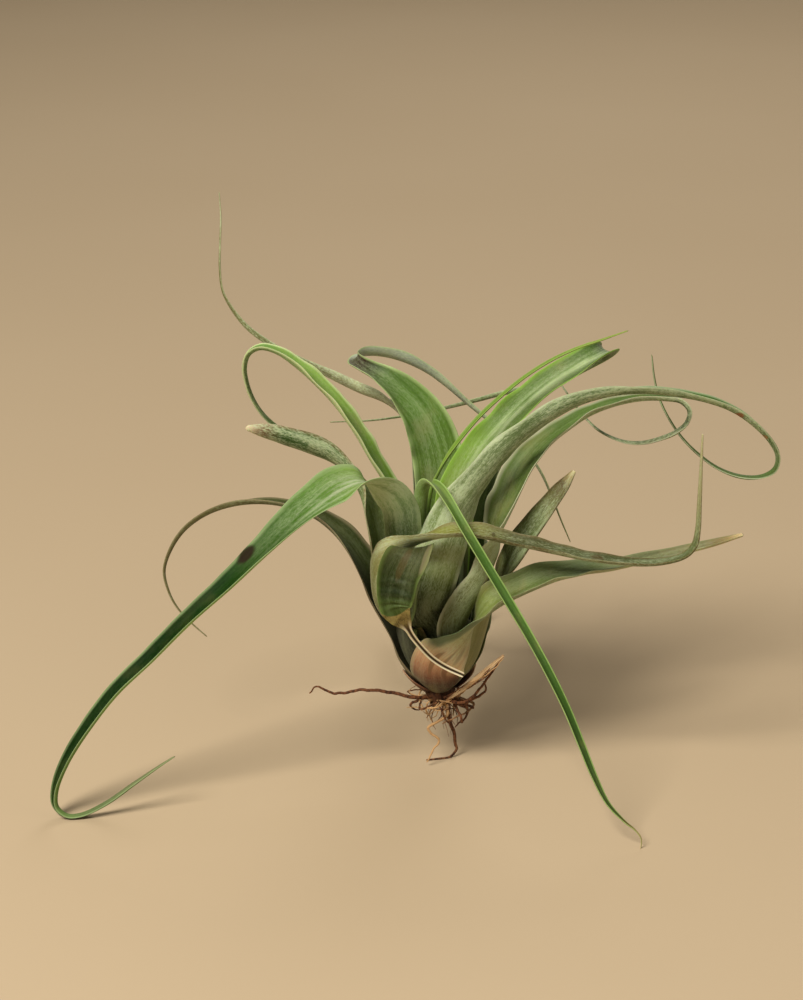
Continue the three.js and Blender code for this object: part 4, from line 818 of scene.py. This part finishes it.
grow_leaf("leaf_centre_folded", 2, 125, "leaf_green", (
    (-3.6, 39, 11.5, 11, 30, -10, 95), (-2.1, 48.9, 12.5, 12.5, 15, 10, 100),
    (0, 58.2, 13.5, 14.5, 0, 15, 100), (-0.3, 67.2, 14.5, 15, -5, 20, 100),
    (-2.1, 75.6, 15.5, 14.5, -10, 30, 95), (-5.7, 83.1, 16.5, 12.6, -15, 45, 90),
    (-11.1, 89.4, 18, 10, -25, 60, 75), (-16.8, 93.9, 19.5, 7.6, -40, 75, 50),
    (-21.9, 96.6, 22.5, 5.6, -50, 85, 20), (-24.9, 98.4, 26.5, 4.6, -60, 80, -10),
    (-25.7, 99.9, 31.5, 4), (-23.7, 101.1, 36, 4.6, -30, 90, -30),
    (-19.2, 101.4, 39.5, 4.6, 0, 85, -50), (-13.8, 100.5, 42, 4.5, 10, 85, -50),
    (-8.4, 98.6, 43.5, 4.2, 15, 85, -50), (-2.7, 95.4, 45, 3.7, 30, 85, -40),
    (3, 90.9, 46, 3, 50, 80, -30), (8.1, 86.4, 47, 2.5, 55, 75, -25), (13.2, 82.2, 47.5, 2.1),
    (18.9, 78, 48, 1.9, 60, 70, -25), (24.6, 72.8, 48, 1.6, 65, 65, -20),
    (29.7, 66.3, 48, 1.4, 70, 60, -20), (33.3, 58.8, 48, 1.2, 80, 45, -10),
    (36, 51.9, 48, 0.9, 85, 40, 0), (39, 44.7, 48, 0.5),
),
    upper={-1: "2f3614", 1: "4f6624", 3: "58742a", 5: "507424", 7: "446220", 7.8: "2f3c14",
           8.6: "2a1c0c", 9.8: "3c3424", 10.8: "9aa290", 16: "868e80", 24: "5c6644"},
    under={-1: "5c6434", 3: "7c9050", 6: "74885a", 7.8: "3f3216", 8.6: "2a1c0c",
           10.5: "9aa290", 16: "868e80", 24: "5c6644"},
    frost=(0.24, 0.6), edge=("a8bc80", 0.9))
grow_leaf("leaf_back_whip", 2, 25, "leaf_silver", (
    (10.2, 37.2, 8, 7, -50, 30, 80), (11.7, 47.4, 12, 6.5, -50, 50, 70),
    (14.1, 57.9, 17, 6, -50, 65, 50), (17.1, 67.8, 23, 5.2, -45, 80, 30),
    (20.7, 75.9, 29, 4.5, -40, 85, 10), (24.9, 82.5, 35, 4, -30, 90, 0),
    (28.8, 87, 41, 3.6, -15, 95, -10), (31.2, 89.7, 46.5, 3.2, 0, 95, -20),
    (30.9, 90.9, 52, 2.9, 0, 95, -25), (27.9, 90.8, 57, 2.7, 0, 90, -30), (23.4, 90, 60, 2.5),
    (18, 88.8, 62, 2.3), (12, 87.2, 63, 2.1), (6, 85.7, 64, 1.9), (0, 84.3, 65, 1.7),
    (-6.6, 83, 66, 1.4), (-13.5, 81.8, 67, 1.1), (-21, 80.9, 68, 0.8), (-32.7, 80.4, 69, 0.4),
),
    upper={-1: "4a5a2c", 4: "55683a", 18: "5a6840"},
    under={-1: "6a7648", 6: "64724a", 18: "5a6840"},
    frost=(0.3, 0.5))
grow_leaf("leaf_big_right_loop", 2, 252, "leaf_silver", (
    (-5.2, 24, -10.5, 15, 0, 0, -100), (-2.8, 33, -11, 15), (-0.6, 40, -11, 14.6, 0, 5, -100),
    (1.3, 45.6, -10.8, 14, -5, 10, -100), (5.1, 54, -9.8, 12.5, -30, 30, -90),
    (9.9, 61.2, -9, 11, -50, 40, -75), (15.9, 68.4, -7.5, 10, -50, 50, -65),
    (22.8, 75.3, -6, 9.3, -45, 65, -55), (30.9, 81.3, -4.5, 8.6, -35, 75, -50),
    (40.2, 86.4, -3, 7.8, -20, 85, -40), (50.4, 89.2, -1.5, 6.8, 0, 95, -15),
    (60.6, 90.1, 0, 6.2, 10, 97, 5), (70.5, 89.2, 2, 5.8, 20, 95, 15),
    (79.8, 87.4, 4, 5.3, 30, 92, 20), (87.9, 84.4, 6, 4.7, 45, 85, 20),
    (94.5, 79.8, 8, 4, 60, 75, 15), (99.3, 74.7, 10, 3.4, 80, 50, 10),
    (101.4, 70.2, 12, 3.1, 95, 10, 10), (100.5, 66.3, 14, 2.9, 90, -40, 10),
    (96.6, 64, 16, 2.8, 40, -90, 10), (90.6, 63.9, 18, 2.6, -10, -100, 10),
    (83.7, 66.3, 20, 2.2, -40, -90, 0), (77.7, 70.5, 22.5, 1.9, -60, -75, 0),
    (72.6, 75.6, 25, 1.6, -70, -60, 0), (68.7, 81.3, 27, 1.4, -85, -50, 0),
    (65.7, 87.6, 29, 1.3, -90, -30, 0), (64.2, 93.9, 30.5, 1.1, -100, -15, 0),
    (63.5, 100.2, 32, 0.6, -100, 0, 0),
),
    upper={-1: "2c3614", 9: "33521c", 13: "3c6220", 15: "3c6020", 18: "33501c", 22: "42562a",
           27: "5a6a3a"},
    # Painted shade and painted light: the under face is near black at the sheath's foot, for the
    # shade there, and paler from station 1.5 to 2.2, against the shadow of the kinked leaf just
    # above.
    under={-1: "1c150a", 0: "333c18", 1: "4e5e28", 1.5: "7c8c50", 2.2: "8a9660", 3: "70824a",
           6: "67794e", 10: "46602e", 14: "42602a", 17: "46602a", 22: "4c5e30", 27: "5a6a3a"},
    frost=(0.1, 0.75), edge=("b8c2a0", 0.8), ageing=0.06, worn=18,
    marks=((14.25, 0.35, (0.006, 0.6), "8a4a24", 0.85), (15.6, 0.2, (0.005, 0.6), "94622c", 0.7)))

# Middle leaves: half-grown ones with shorter blades. Two of the lower ones are kinked or cupped,
# and one of these is dying back from its tip.
grow_leaf("leaf_kinked_right", 2.9, 210, "leaf_olive", (
    (-16.4, 24, -7.5, 9.5, 80, 0, -60), (-18.6, 31.5, -9, 9.5, 80, 10, -55),
    (-17.6, 37.2, -12, 9.3, 65, 45, -60), (-14.2, 41.6, -15.5, 9, 35, 80, -45),
    (-9.2, 44.4, -18.5, 8.8, 10, 97, -20), (-4, 46, -20.5, 8.6, 0, 98, 10),
    (1, 47.2, -21.5, 8.4, 0, 94, 30), (6, 47.7, -22.3, 8.1, 5, 90, 42),
    (12, 47.3, -22.8, 7.6, 10, 88, 45), (18, 45.9, -23, 7.1, 12, 88, 45),
    (25.5, 44.2, -23.5, 6.4, 15, 88, 45), (34.5, 42.1, -24, 5.6),
    (43.5, 40.1, -24, 4.8, 12, 88, 45), (52.5, 38.8, -24, 4.2, 5, 90, 45),
    (60.9, 38.1, -24, 3.7, 0, 90, 45), (68.4, 38.7, -24, 3.2, -10, 88, 45),
    (73.8, 40.5, -24, 2.8, -30, 75, 50), (76.5, 43.4, -24, 2.5, -60, 50, 55),
    (77.5, 48, -24, 2.1, -80, 20, 55), (77.9, 55.5, -23.5, 1.7, -80, 10, 55),
    (78.3, 65.1, -23, 1.2, -80, 5, 55), (78.8, 76.5, -22.5, 0.5),
),
    upper={-1: "3c3a1c", 0: "4a4e28", 2: "56602e", 3: "5f662c", 4.5: "76782c", 6: "787a2c",
           8: "6a6a2c", 9.5: "464620", 13: "3c421c", 17: "5c663a", 21: "b0aa80"},
    # Painted light: the under face is made paler from station 2 to 5, where the lip over the hood
    # lies in shade.
    under={-1: "44421f", 0: "5f6238", 1: "70723f", 2: "84864f", 3: "a4a470", 5: "a4a46c",
           7: "5c5c34", 10: "56562f", 17: "66683c", 21: "b0a880"},
    frost=(0.4, 0.75), edge=("6c5a38", 0.7), ageing=0.2,
    marks=((6.3, 0.3, (0.006, 0.35), "33240f", 0.6), (8.7, -0.35, (0.005, 0.3), "33240f", 0.6),
           (10.6, 0.5, (0.012, 0.35), "5c3c1c", 0.6), (12.4, -0.4, (0.01, 0.4), "4c3418", 0.5)))
grow_leaf("leaf_upper_left_whip", 3, 100, "leaf_olive", (
    (-3, 39.6, 16, 8, 10, -30, 95), (-3.6, 50.4, 20, 8, 10, 10, 95),
    (-4.5, 61.5, 24, 7.5, 10, 40, 85), (-5.7, 71.1, 28, 6.5, 10, 70, 60),
    (-7.8, 78.6, 32, 5.6, 10, 95, 30), (-11.7, 84, 36, 6, 10, 95, 10),
    (-17.1, 87.6, 40, 5.6, 12, 90, -25), (-24, 90.3, 43, 5.2, 15, 88, -40),
    (-30.9, 93.6, 46, 4.6, 20, 85, -45), (-38.4, 97.2, 48.5, 3.6, 25, 90, -30),
    (-45.9, 100.8, 50.5, 3, 30, 88, -30), (-52.5, 104.7, 52.5, 2.6, 40, 80, -30),
    (-57.9, 108.9, 54, 2.4, 60, 65, -25), (-62.1, 114, 55, 2, 80, 40, -20),
    (-65.1, 119.7, 55.5, 1.6, 95, 20, -10), (-66, 126.6, 56, 1.3, 100, 0, 0),
    (-65.9, 134.1, 56, 1.1), (-65.7, 141.6, 56, 0.8), (-66.2, 149.1, 56, 0.4),
),
    upper={-1: "4a4a28", 5: "5c6038", 12: "566030", 18: "77744a"},
    under={-1: "6c6a48", 6: "787458", 10: "5c6238", 18: "77744a"},
    frost=(0.3, 0.7), ageing=0.5)
grow_leaf("leaf_short_left", 3.1, 150, "leaf_silver", (
    (-16.2, 30, 3.2, 10, 85, 0, 50), (-17.4, 38.1, 4.5, 10, 75, 5, 65),
    (-18.6, 45.6, 5, 10, 70, 15, 70), (-20.1, 52.8, 5.5, 10, 70, 35, 60),
    (-22.8, 59.7, 6, 9.6, 65, 60, 30), (-26.7, 65.7, 6, 9, 50, 80, 0),
    (-32.7, 70.4, 6, 9.2, 30, 80, -40), (-40.2, 73.7, 5.5, 8.8, 25, 70, -60), (-47.7, 76, 5, 7.4),
    (-53.4, 77.5, 4.5, 5.2), (-57.9, 78.6, 4, 2),
),
    upper={-1: "5c5e34", 3: "75824a", 6: "5f7a36", 8: "4a6428", 9.3: "6a6a40", 10: "c8b48c"},
    under={-1: "6c6c44", 1: "868e5c", 5: "3c5c22", 8: "2f4e1a", 9.3: "7c5c44", 10: "e6cdb0"},
    frost=(0.5, 0.75), edge=("8a6a52", 0.7))
grow_leaf("leaf_right_inner_loop", 3.5, 296, "leaf_green", (
    (4.2, 19.5, -13.2, 10.5, -50, 0, -85), (7.8, 27, -12.6, 8.8, -65, 0, -75),
    (11.7, 33, -11.6, 8.6, -72, 5, -68), (14.5, 39, -10.2, 9.3, -80, 10, -60),
    (16.2, 43, -9.2, 9.6, -90, 15, -35), (16.7, 46.3, -8.2, 10, -95, 20, 10),
    (17, 49.8, -7, 10.4, -85, 20, 50), (18.3, 53.5, -5.8, 10.8, -75, 22, 62),
    (20, 57.5, -4.4, 11, -70, 25, 65), (22.4, 63.2, -1.5, 10.8, -60, 35, 75),
    (26, 69, 1.6, 10.4, -55, 50, 70), (31.2, 74.6, 5, 9.2, -50, 65, 60),
    (37.6, 79.4, 8.2, 7.9, -40, 80, 50), (45.2, 83.8, 11.4, 6.6, -30, 88, 35),
    (53.4, 86.6, 14, 5.6, -10, 93, 30), (61.2, 87.8, 15.5, 4.7, 10, 95, 25),
    (67.8, 87.6, 16, 4, 30, 90, 20), (72.6, 86.6, 15.5, 3.5, 65, 75, 10),
    (75, 83.7, 14.5, 3.2, 95, 10, 10), (74.1, 80.1, 13.5, 3, 80, -50, 10),
    (70.8, 77.3, 13, 2.9, 40, -90, 10), (66, 75.3, 13.5, 2.7, 15, -98, 0),
    (60.9, 74.1, 14.5, 2.5, 0, -100, 0), (55.8, 74.3, 16, 2.2, -15, -100, 0),
    (51.3, 75.8, 18, 1.9, -30, -90, 0), (47.4, 78, 20.5, 1.7, -50, -80, 0),
    (44.1, 81, 23, 1.5, -60, -75, 0), (40.8, 84.9, 25.5, 1.2, -65, -70, 0),
    (37.8, 89.4, 28, 1, -70, -65, 0), (35.4, 92.7, 29.5, 0.6),
),
    # Painted shade: the upper face is dark brown up to station 4, for the deep shade inside the
    # channel at its base.
    upper={-1: "2c220c", 4: "332c0e", 7: "465618", 10: "4c6226", 13: "4c6626", 17: "3f5822",
           22: "435a2c", 29: "5c6a3a"},
    under={-1: "40381c", 1: "5c5f34", 3: "8c9462", 6: "a0a488", 9: "a4a88e", 13: "7c8c5c",
           17: "46582c", 22: "46582c", 29: "5c6a3a"},
    frost=(0.1, 0.75), edge=("b4b498", 0.9),
    opened={5: 1.1, 6: 1.2, 7: 1.25, 8: 1.25, 9: 1.2, 10: 1.1})
grow_leaf("leaf_dry_tip", 4, 206, "leaf_olive", (
    (-12.8, 24.5, -12.5, 11.5, 65, 0, -75), (-12.2, 31.5, -15, 12, 50, 30, -80),
    (-10.6, 38, -18.5, 10.5, 30, 60, -70), (-8, 42, -22.5, 10.4, 0, 95, -15),
    (-7.9, 42.7, -26, 11.6, -10, 85, 50), (-9.6, 39.8, -29, 12.6, -20, 35, 90),
    (-12.1, 34.2, -30.5, 12.2, -22, 10, 100), (-12.9, 30, -31, 11.4, -20, 0, 100),
    (-13.3, 26.4, -31, 9.8, -15, 0, 100), (-13.2, 24.4, -30.8, 8.6), (-12.3, 22.4, -30.4, 6.6),
    (-10.8, 20.4, -29.4, 4.2), (-9.6, 18.4, -28, 2, -10, 0, 100), (-8.1, 15.9, -26.5, 1.6),
    (-5.4, 12.6, -24.5, 1.5, 0, 0, 100), (-2.4, 9.6, -22.5, 1.5), (1.5, 7, -20.5, 1.5),
    (6.9, 4.5, -19, 1.4, 10, 0, 100),
),
    # Painted shade: the upper face is darkest from station 3 to 7.4, for the shadow that the kinked
    # leaf's lip casts over the hood and the shade in its hollow; the under face is dark at the
    # sheath, for the shade below the hood.
    upper={-1: "22220f", 3: "2c2c12", 4: "34361a", 5: "3a3f1e", 6: "26300e", 7.4: "1c2808",
           8.4: "3f4e20", 17: "3a4a1c"},
    under={-1: "1e1e12", 2: "33352a", 3: "4a4c34", 8: "565c40", 10: "8a7444", 17: "b8a880"},
    frost=(0.08, 0.35), edge=("6c8040", 0.6), gloss=0.12, ripple=0.03, ageing=0.06,
    dying=(10.1, "8c7c48", 1.0), opened={2: 0.6, 3: 0.3, 4: 0.4, 5: 0.8, 6: 1.05, 7: 1.1},
    folds=((5.6, 9.6, 0.24, 5),),
    marks=((4.6, -0.85, (0.05, 0.22), "8a8262", 0.45), (5.4, 0.1, (0.06, 0.2), "5c4a2c", 0.35)))

# Outer leaves: the oldest ones that show, with broad sheaths that fade to beige at the foot.
# Their blades are short or hooked, duller green, and their ends have dried to straw.
grow_leaf("leaf_short_right", 4.2, 335, "leaf_olive", (
    (14.2, 25.2, -6.5, 12, -90, 10, -30), (17.4, 31.8, -6, 11, -85, 15, 0),
    (21, 38.4, -5.5, 10.4, -75, 20, 40), (25.3, 45, -4.5, 9.6, -65, 25, 60),
    (29.8, 51.3, -3.5, 8.2, -65, 30, 65), (34.2, 57, -2.5, 6.4, -65, 33, 65),
    (37.8, 61.8, -1.5, 4.4, -65, 35, 65), (40.2, 65.4, -1, 1.6),
),
    upper={-1: "4a4020", 1: "6c6c3c", 2: "5c6436", 3: "4f5c30", 4: "5a6438", 5: "5c5c34",
           6: "5c4c2c", 7: "cbb88c"},
    under={-1: "6c6a40", 0: "7c7c4c", 1.4: "747a4c", 3: "665e3c", 6: "4c3c22", 7: "cbb88c"},
    # Painted shade: the dark brown margin colour stands for the shade where the folded leaf turns
    # away along its margins.
    frost=(0.5, 0.5), edge=("4a3418", 0.8), ageing=0.5)
grow_leaf("leaf_hook_left", 5, 160, "leaf_olive", (
    (-19.2, 29.4, 8, 13, 85, 0, 50), (-21.3, 35.4, 10, 12, 75, 25, 60),
    (-24.9, 41.7, 12, 10.5, 65, 45, 60), (-30, 47.7, 13.5, 8.8, 50, 65, 55),
    (-37.2, 52.8, 14.5, 6.2, 30, 80, 45), (-45.6, 55.8, 15, 5, 15, 90, 30),
    (-54, 56.7, 15.5, 4, 0, 95, 15), (-62.4, 55.8, 15.5, 3.4, -25, 93, -10),
    (-70.2, 53.1, 15.5, 3.2, -50, 85, -5), (-76.8, 48.3, 15, 2.8, -70, 70, 0),
    (-81, 42, 14.5, 2.3, -85, 45, 0), (-82.8, 35.7, 14, 1.8, -100, 10, 0),
    (-81.6, 30, 13, 1.5, -98, -20, 0), (-79.2, 25.2, 12.5, 1.2, -85, -50, 0),
    (-75, 20.4, 12, 0.9, -70, -70, 0), (-70.2, 16.2, 11, 0.6, -65, -75, 0),
),
    upper={-1: "2c2610", 1: "2c3414", 3: "343c1a", 6: "444824", 10: "5c5c3c", 15: "7a7450"},
    under={-1: "4c3e22", 2: "3c3c1a", 4: "3c3c1a", 6: "4c4a28", 9: "66623f", 15: "7a7450"},
    frost=(0.08, 0.22), edge=("94846a", 0.6), ageing=0.1, gloss=0.12)
grow_leaf("leaf_low_right", 5, 264, "leaf_olive", (
    (-1, 6.5, -12.5, 16, 10, 0, -100), (0.3, 9.2, -13.7, 15.4, -5, 5, -100),
    (2.8, 11.8, -14.8, 13.2, -30, 25, -92), (6.1, 15.4, -16, 12.2, -60, 50, -60),
    (9, 19.2, -17, 11.8, -60, 78, 0), (11.6, 22.8, -17.4, 12, -52, 75, 35),
    (15, 26.4, -17.8, 12, -42, 72, 52), (20, 29.4, -18, 11.6, -35, 74, 55),
    (27, 32.4, -18.2, 10.6, -28, 75, 55), (35, 35, -18, 9, -24, 78, 55),
    (42.5, 36.3, -17.5, 7.2, -22, 80, 55), (50, 37, -17, 6, -20, 85, 50), (58.2, 38.6, -16, 5.2),
    (66.6, 40.4, -15, 4.4), (75, 42.3, -14, 3.8), (83.1, 44.3, -13, 3), (90.6, 46.5, -12, 1.6),
),
    upper={-1: "5c4a2c", 1: "6c6c30", 5: "727e3c", 7: "6a783a", 8: "5f6e38", 10: "56643a",
           12: "5c623c", 14.5: "6c6846", 15.5: "a08a5a", 16: "c8b084"},
    # Partly painted shade: the under face runs from near black to red-brown below station 0, the
    # sheath's own browning darkened for the shade at its base.
    under={-1: "24100a", -0.8: "3c1c12", -0.4: "6a3e2c", 0: "94664a", 0.6: "ba8c66",
           1.3: "b8946c", 2: "b49c7a", 3.2: "8a8a60", 5: "66724a", 8: "6c7650", 16: "b7a67c"},
    frost=(0.2, 0.5), edge=("868a68", 0.5), ageing=0.45,
    opened={2: 0.85, 3: 0.75, 4: 0.7, 5: 1.05, 6: 1.3, 7: 1.4, 8: 1.28, 9: 1.15},
    marks=((0.3, -0.3, (0.05, 0.12), "5c3a26", 0.6), (0.9, 0.2, (0.07, 0.1), "6a5236", 0.6),
           (1.6, -0.15, (0.06, 0.08), "5f5234", 0.5), (2.0, -0.5, (0.05, 0.14), "77684a", 0.5),
           (3.2, 0.85, (0.13, 0.55), "5a6a4c", 0.95)))

# Back leaves: three more on the far side fill the rosette, and one of them rests on the table.
# They are of the common grey-green, and their ends have browned.
grow_leaf("leaf_back_short", 3.2, 60, "leaf_silver", (
    (8, 14, 55, 10, -45, -85, 30), (9, 22, 66, 9.5, -30, -75, 60), (9, 32, 76, 9, -10, -50, 85),
    (8, 44, 82, 8.4, 0, 0, 100), (7, 54, 80, 7.2, 0, 50, 85), (6, 62, 72, 5.8, 0, 80, 60),
    (5, 68, 60, 4, 0, 95, 35), (4, 72, 48, 1.4, 0, 95, 30),
),
    upper={-1: "4a5428", 3: "587038", 6: "5c6c3a", 7: "9a8a60"},
    under={-1: "6a6c44", 3: "74804c", 6: "6c7048", 7: "9a8a60"},
    frost=(0.25, 0.7), on_floor=True)
grow_leaf("leaf_back_left", 4, 100, "leaf_silver", (
    (-2.5, 14.4, 47, 12, 15, -95, 30), (-3, 24, 53, 11.5, 0, -50, 85), (-4, 35, 56, 11, 0, 0, 100),
    (-5.5, 46, 53, 10, 0, 45, 90), (-7, 56, 45.5, 8.8, 0, 70, 70), (-8.6, 64.5, 35, 7.4, 0, 85, 55),
    (-10, 71, 23.5, 6, 0, 90, 45), (-11.4, 77.5, 14.5, 4.8, 0, 70, 70),
    (-12.8, 86, 9.5, 3.8, 0, 25, 95), (-14.2, 95, 10, 2.6, 0, -20, 100),
    (-15.4, 102.5, 14, 1, 0, -50, 85),
),
    upper={-1: "4c5228", 4: "557036", 8: "4f6a30", 10: "94855a"},
    under={-1: "6c6644", 4: "70804c", 8: "647444", 10: "94855a"},
    frost=(0.25, 0.7), on_floor=True)
grow_leaf("leaf_back_right", 5, 50, "leaf_silver", (
    (10.7, 12.8, 47, 14, -60, -75, 20), (10, 22, 54, 13, -20, -50, 80), (9, 33, 57, 12, 0, 0, 100),
    (8, 45, 54, 10.5, 0, 40, 90), (7, 57, 44, 9, 0, 70, 70), (6, 68, 28, 7.2, 0, 85, 50),
    (5, 76, 12, 5.6, 0, 90, 45), (5, 81, 2.2, 4.6, 0, 70, 70), (6, 86, 0.35, 4, 0, 20, 95),
    (8, 93, 1.5, 3.2, 0, -10, 100), (11, 100, 5, 2.2, 0, -40, 90), (15, 106, 11, 1, 0, -50, 85),
),
    upper={-1: "524a28", 4: "5a7038", 9: "526a32", 11: "94855a"},
    under={-1: "7a6040", 3: "748050", 9: "66744a", 11: "94855a"},
    frost=(0.25, 0.7), on_floor=True)

# Papery scales: the remains of the first leaves. They clasp the foot, brown, dry and veined, and
# their edges are wavy.
SCALE_LEVEL = 5.4
SCALE_LENGTH = 6.0
SCALE_WIDTHS = (8, 8.6, 6.5, 2)
SCALE_STRIPS = 26
SCALE_SEED = 40
SCALE_RIPPLE = 0.06
SCALE_TONES = ((0.0, "3a1c10"), (0.45, "7a4e34"), (1.0, "b59273"))
SCALE_BLOTCH = "93705a"
PAPER_RELIEF = 0.2


def scale_finish():
    material, wire, shader = finish("papery scale skin")
    lay = wire.attribute("lay", "Vector")
    rib = lay.noise((26.0, 1.6, 1.0), 4.0, 0.65)
    patch = lay.noise((5.0, 3.0, 1.0), 3.0)
    colour = (patch.step(0.45, 0.7) * 0.6).mix(wire.attribute("along").ramp(SCALE_TONES),
                                               tone(SCALE_BLOTCH))
    dress(wire, shader, colour.shade(0.6 + 0.8 * rib), 0.8 - 0.15 * rib, rib, PAPER_RELIEF)
    return material


scale_skin = scale_finish()
for number, (node, azimuth) in enumerate((("scale_left", 190), ("scale_right", 20),
                                          ("scale_back", 90))):
    base = attach_height(SCALE_LEVEL)
    rows = [sheath_row(SCALE_LEVEL, math.radians(azimuth), base + SCALE_LENGTH * n / 3, width)
            for n, width in enumerate(SCALE_WIDTHS)]
    mesh = blade_mesh(node, rows, SCALE_STRIPS, SCALE_SEED + number, SCALE_RIPPLE)
    fit(new_piece("papery_" + node, mesh, scale_skin), node)

# Dead strand: the dried fibre of a lost leaf, flat and frayed. It hangs from the stem beside the
# foot and runs out to the right among the roots.
STRAND_ARC = math.radians(20)
STRAND_FACE = (-0.3, 0.5, 0.8)
STRAND_STRIPS = 12
STRAND_SEED = 50
STRAND_RIPPLE = 0.05
FIBRE_TONES, FIBRE_BLOTCH = ("7a5638", "d4b688"), "8a6446"


def strand_finish():
    material, wire, shader = finish("dry strand fibre")
    lay = wire.attribute("lay", "Vector")
    rib = lay.noise((32.0, 1.2, 1.0), 4.0, 0.65)
    patch = lay.noise((6.0, 2.0, 1.0))
    colour = rib.step(0.3, 0.7).mix(*map(tone, FIBRE_TONES))
    colour = (patch.step(0.5, 0.75) * 0.6).mix(colour, tone(FIBRE_BLOTCH))
    dress(wire, shader, colour, 0.85 - 0.15 * rib, rib, PAPER_RELIEF)
    return material


rows = [(*seen(right, up, back), width, STRAND_ARC, *in_view(*STRAND_FACE))
        for right, up, back, width in STRAND_STATIONS]
mesh = blade_mesh("dead strand", rows, STRAND_STRIPS, STRAND_SEED, STRAND_RIPPLE)
fit(new_piece("dead_strand", mesh, strand_finish()), "dry_root_strap")

# Floor: a plain pale sheet, in metres, under soft studio light. The camera looks from in front
# and a little above, from the distance that gives the true size at the plant.
FLOOR_HALF = 20.0
FLOOR_TONES = ("b7a387", "beab90")
FLOOR_CLOUDS = (3.0, 3.0, 3.0)
FLOOR_RELIEF = 0.01
EYE_SENSOR, EYE_LENS = 36.0, 96.0
AIM = (0, 0, 0.06)
LIGHTS = (("key light", (-0.6, -0.85, 1.2), 0.6, 30.0, (1.0, 0.94, 0.83)),
          ("fill light", (1.3, -0.9, 0.8), 1.2, 3.0, (1.0, 0.9, 0.76)),
          ("rim light", (0.3, 1.2, 1.1), 0.8, 6.0, (1.0, 0.97, 0.92)))
SKY_COLOUR, SKY_STRENGTH = (0.95, 0.86, 0.7, 1.0), 0.18


def floor_finish():
    material, wire, shader = finish("pale floor", {"Specular IOR Level": 0.1})
    cloud = wire.place().noise(FLOOR_CLOUDS)
    colour = cloud.mix(*map(tone, FLOOR_TONES))
    dress(wire, shader, colour, 0.9 + 0.05 * cloud, cloud, FLOOR_RELIEF)
    return material


corners = [(x * FLOOR_HALF / MILLIMETRE, y * FLOOR_HALF / MILLIMETRE, 0)
           for x, y in ((-1, -1), (1, -1), (1, 1), (-1, 1))]
new_piece("floor", plain_mesh("floor", corners, [(0, 1, 2, 3)]), floor_finish())

for name, spot, size, power, colour in LIGHTS:
    lamp = bpy.data.lights.new(name, "AREA")
    lamp.shape = "DISK"
    lamp.size = size
    lamp.energy = power
    lamp.color = colour
    look = np.array(AIM) - np.array(spot)
    tilt = math.atan2(look[2], math.hypot(look[0], look[1]))
    piece = new_piece(name, lamp)
    piece.location = spot
    piece.rotation_euler = (math.pi / 2 + tilt, 0, math.atan2(-look[0], look[1]))

sky = bpy.data.worlds.new("soft room")
sky.use_nodes = True
sky.node_tree.nodes["Background"].inputs["Color"].default_value = SKY_COLOUR
sky.node_tree.nodes["Background"].inputs["Strength"].default_value = SKY_STRENGTH
bpy.context.scene.world = sky
bpy.context.scene.view_settings.view_transform = "Standard"

lens = bpy.data.cameras.new("front view")
lens.sensor_width = EYE_SENSOR
lens.lens = EYE_LENS
camera = new_piece("front view", lens)
camera.location = EYE * MILLIMETRE
camera.rotation_euler = (math.pi / 2 - VIEW_PITCH, 0, 0)
bpy.context.scene.camera = camera
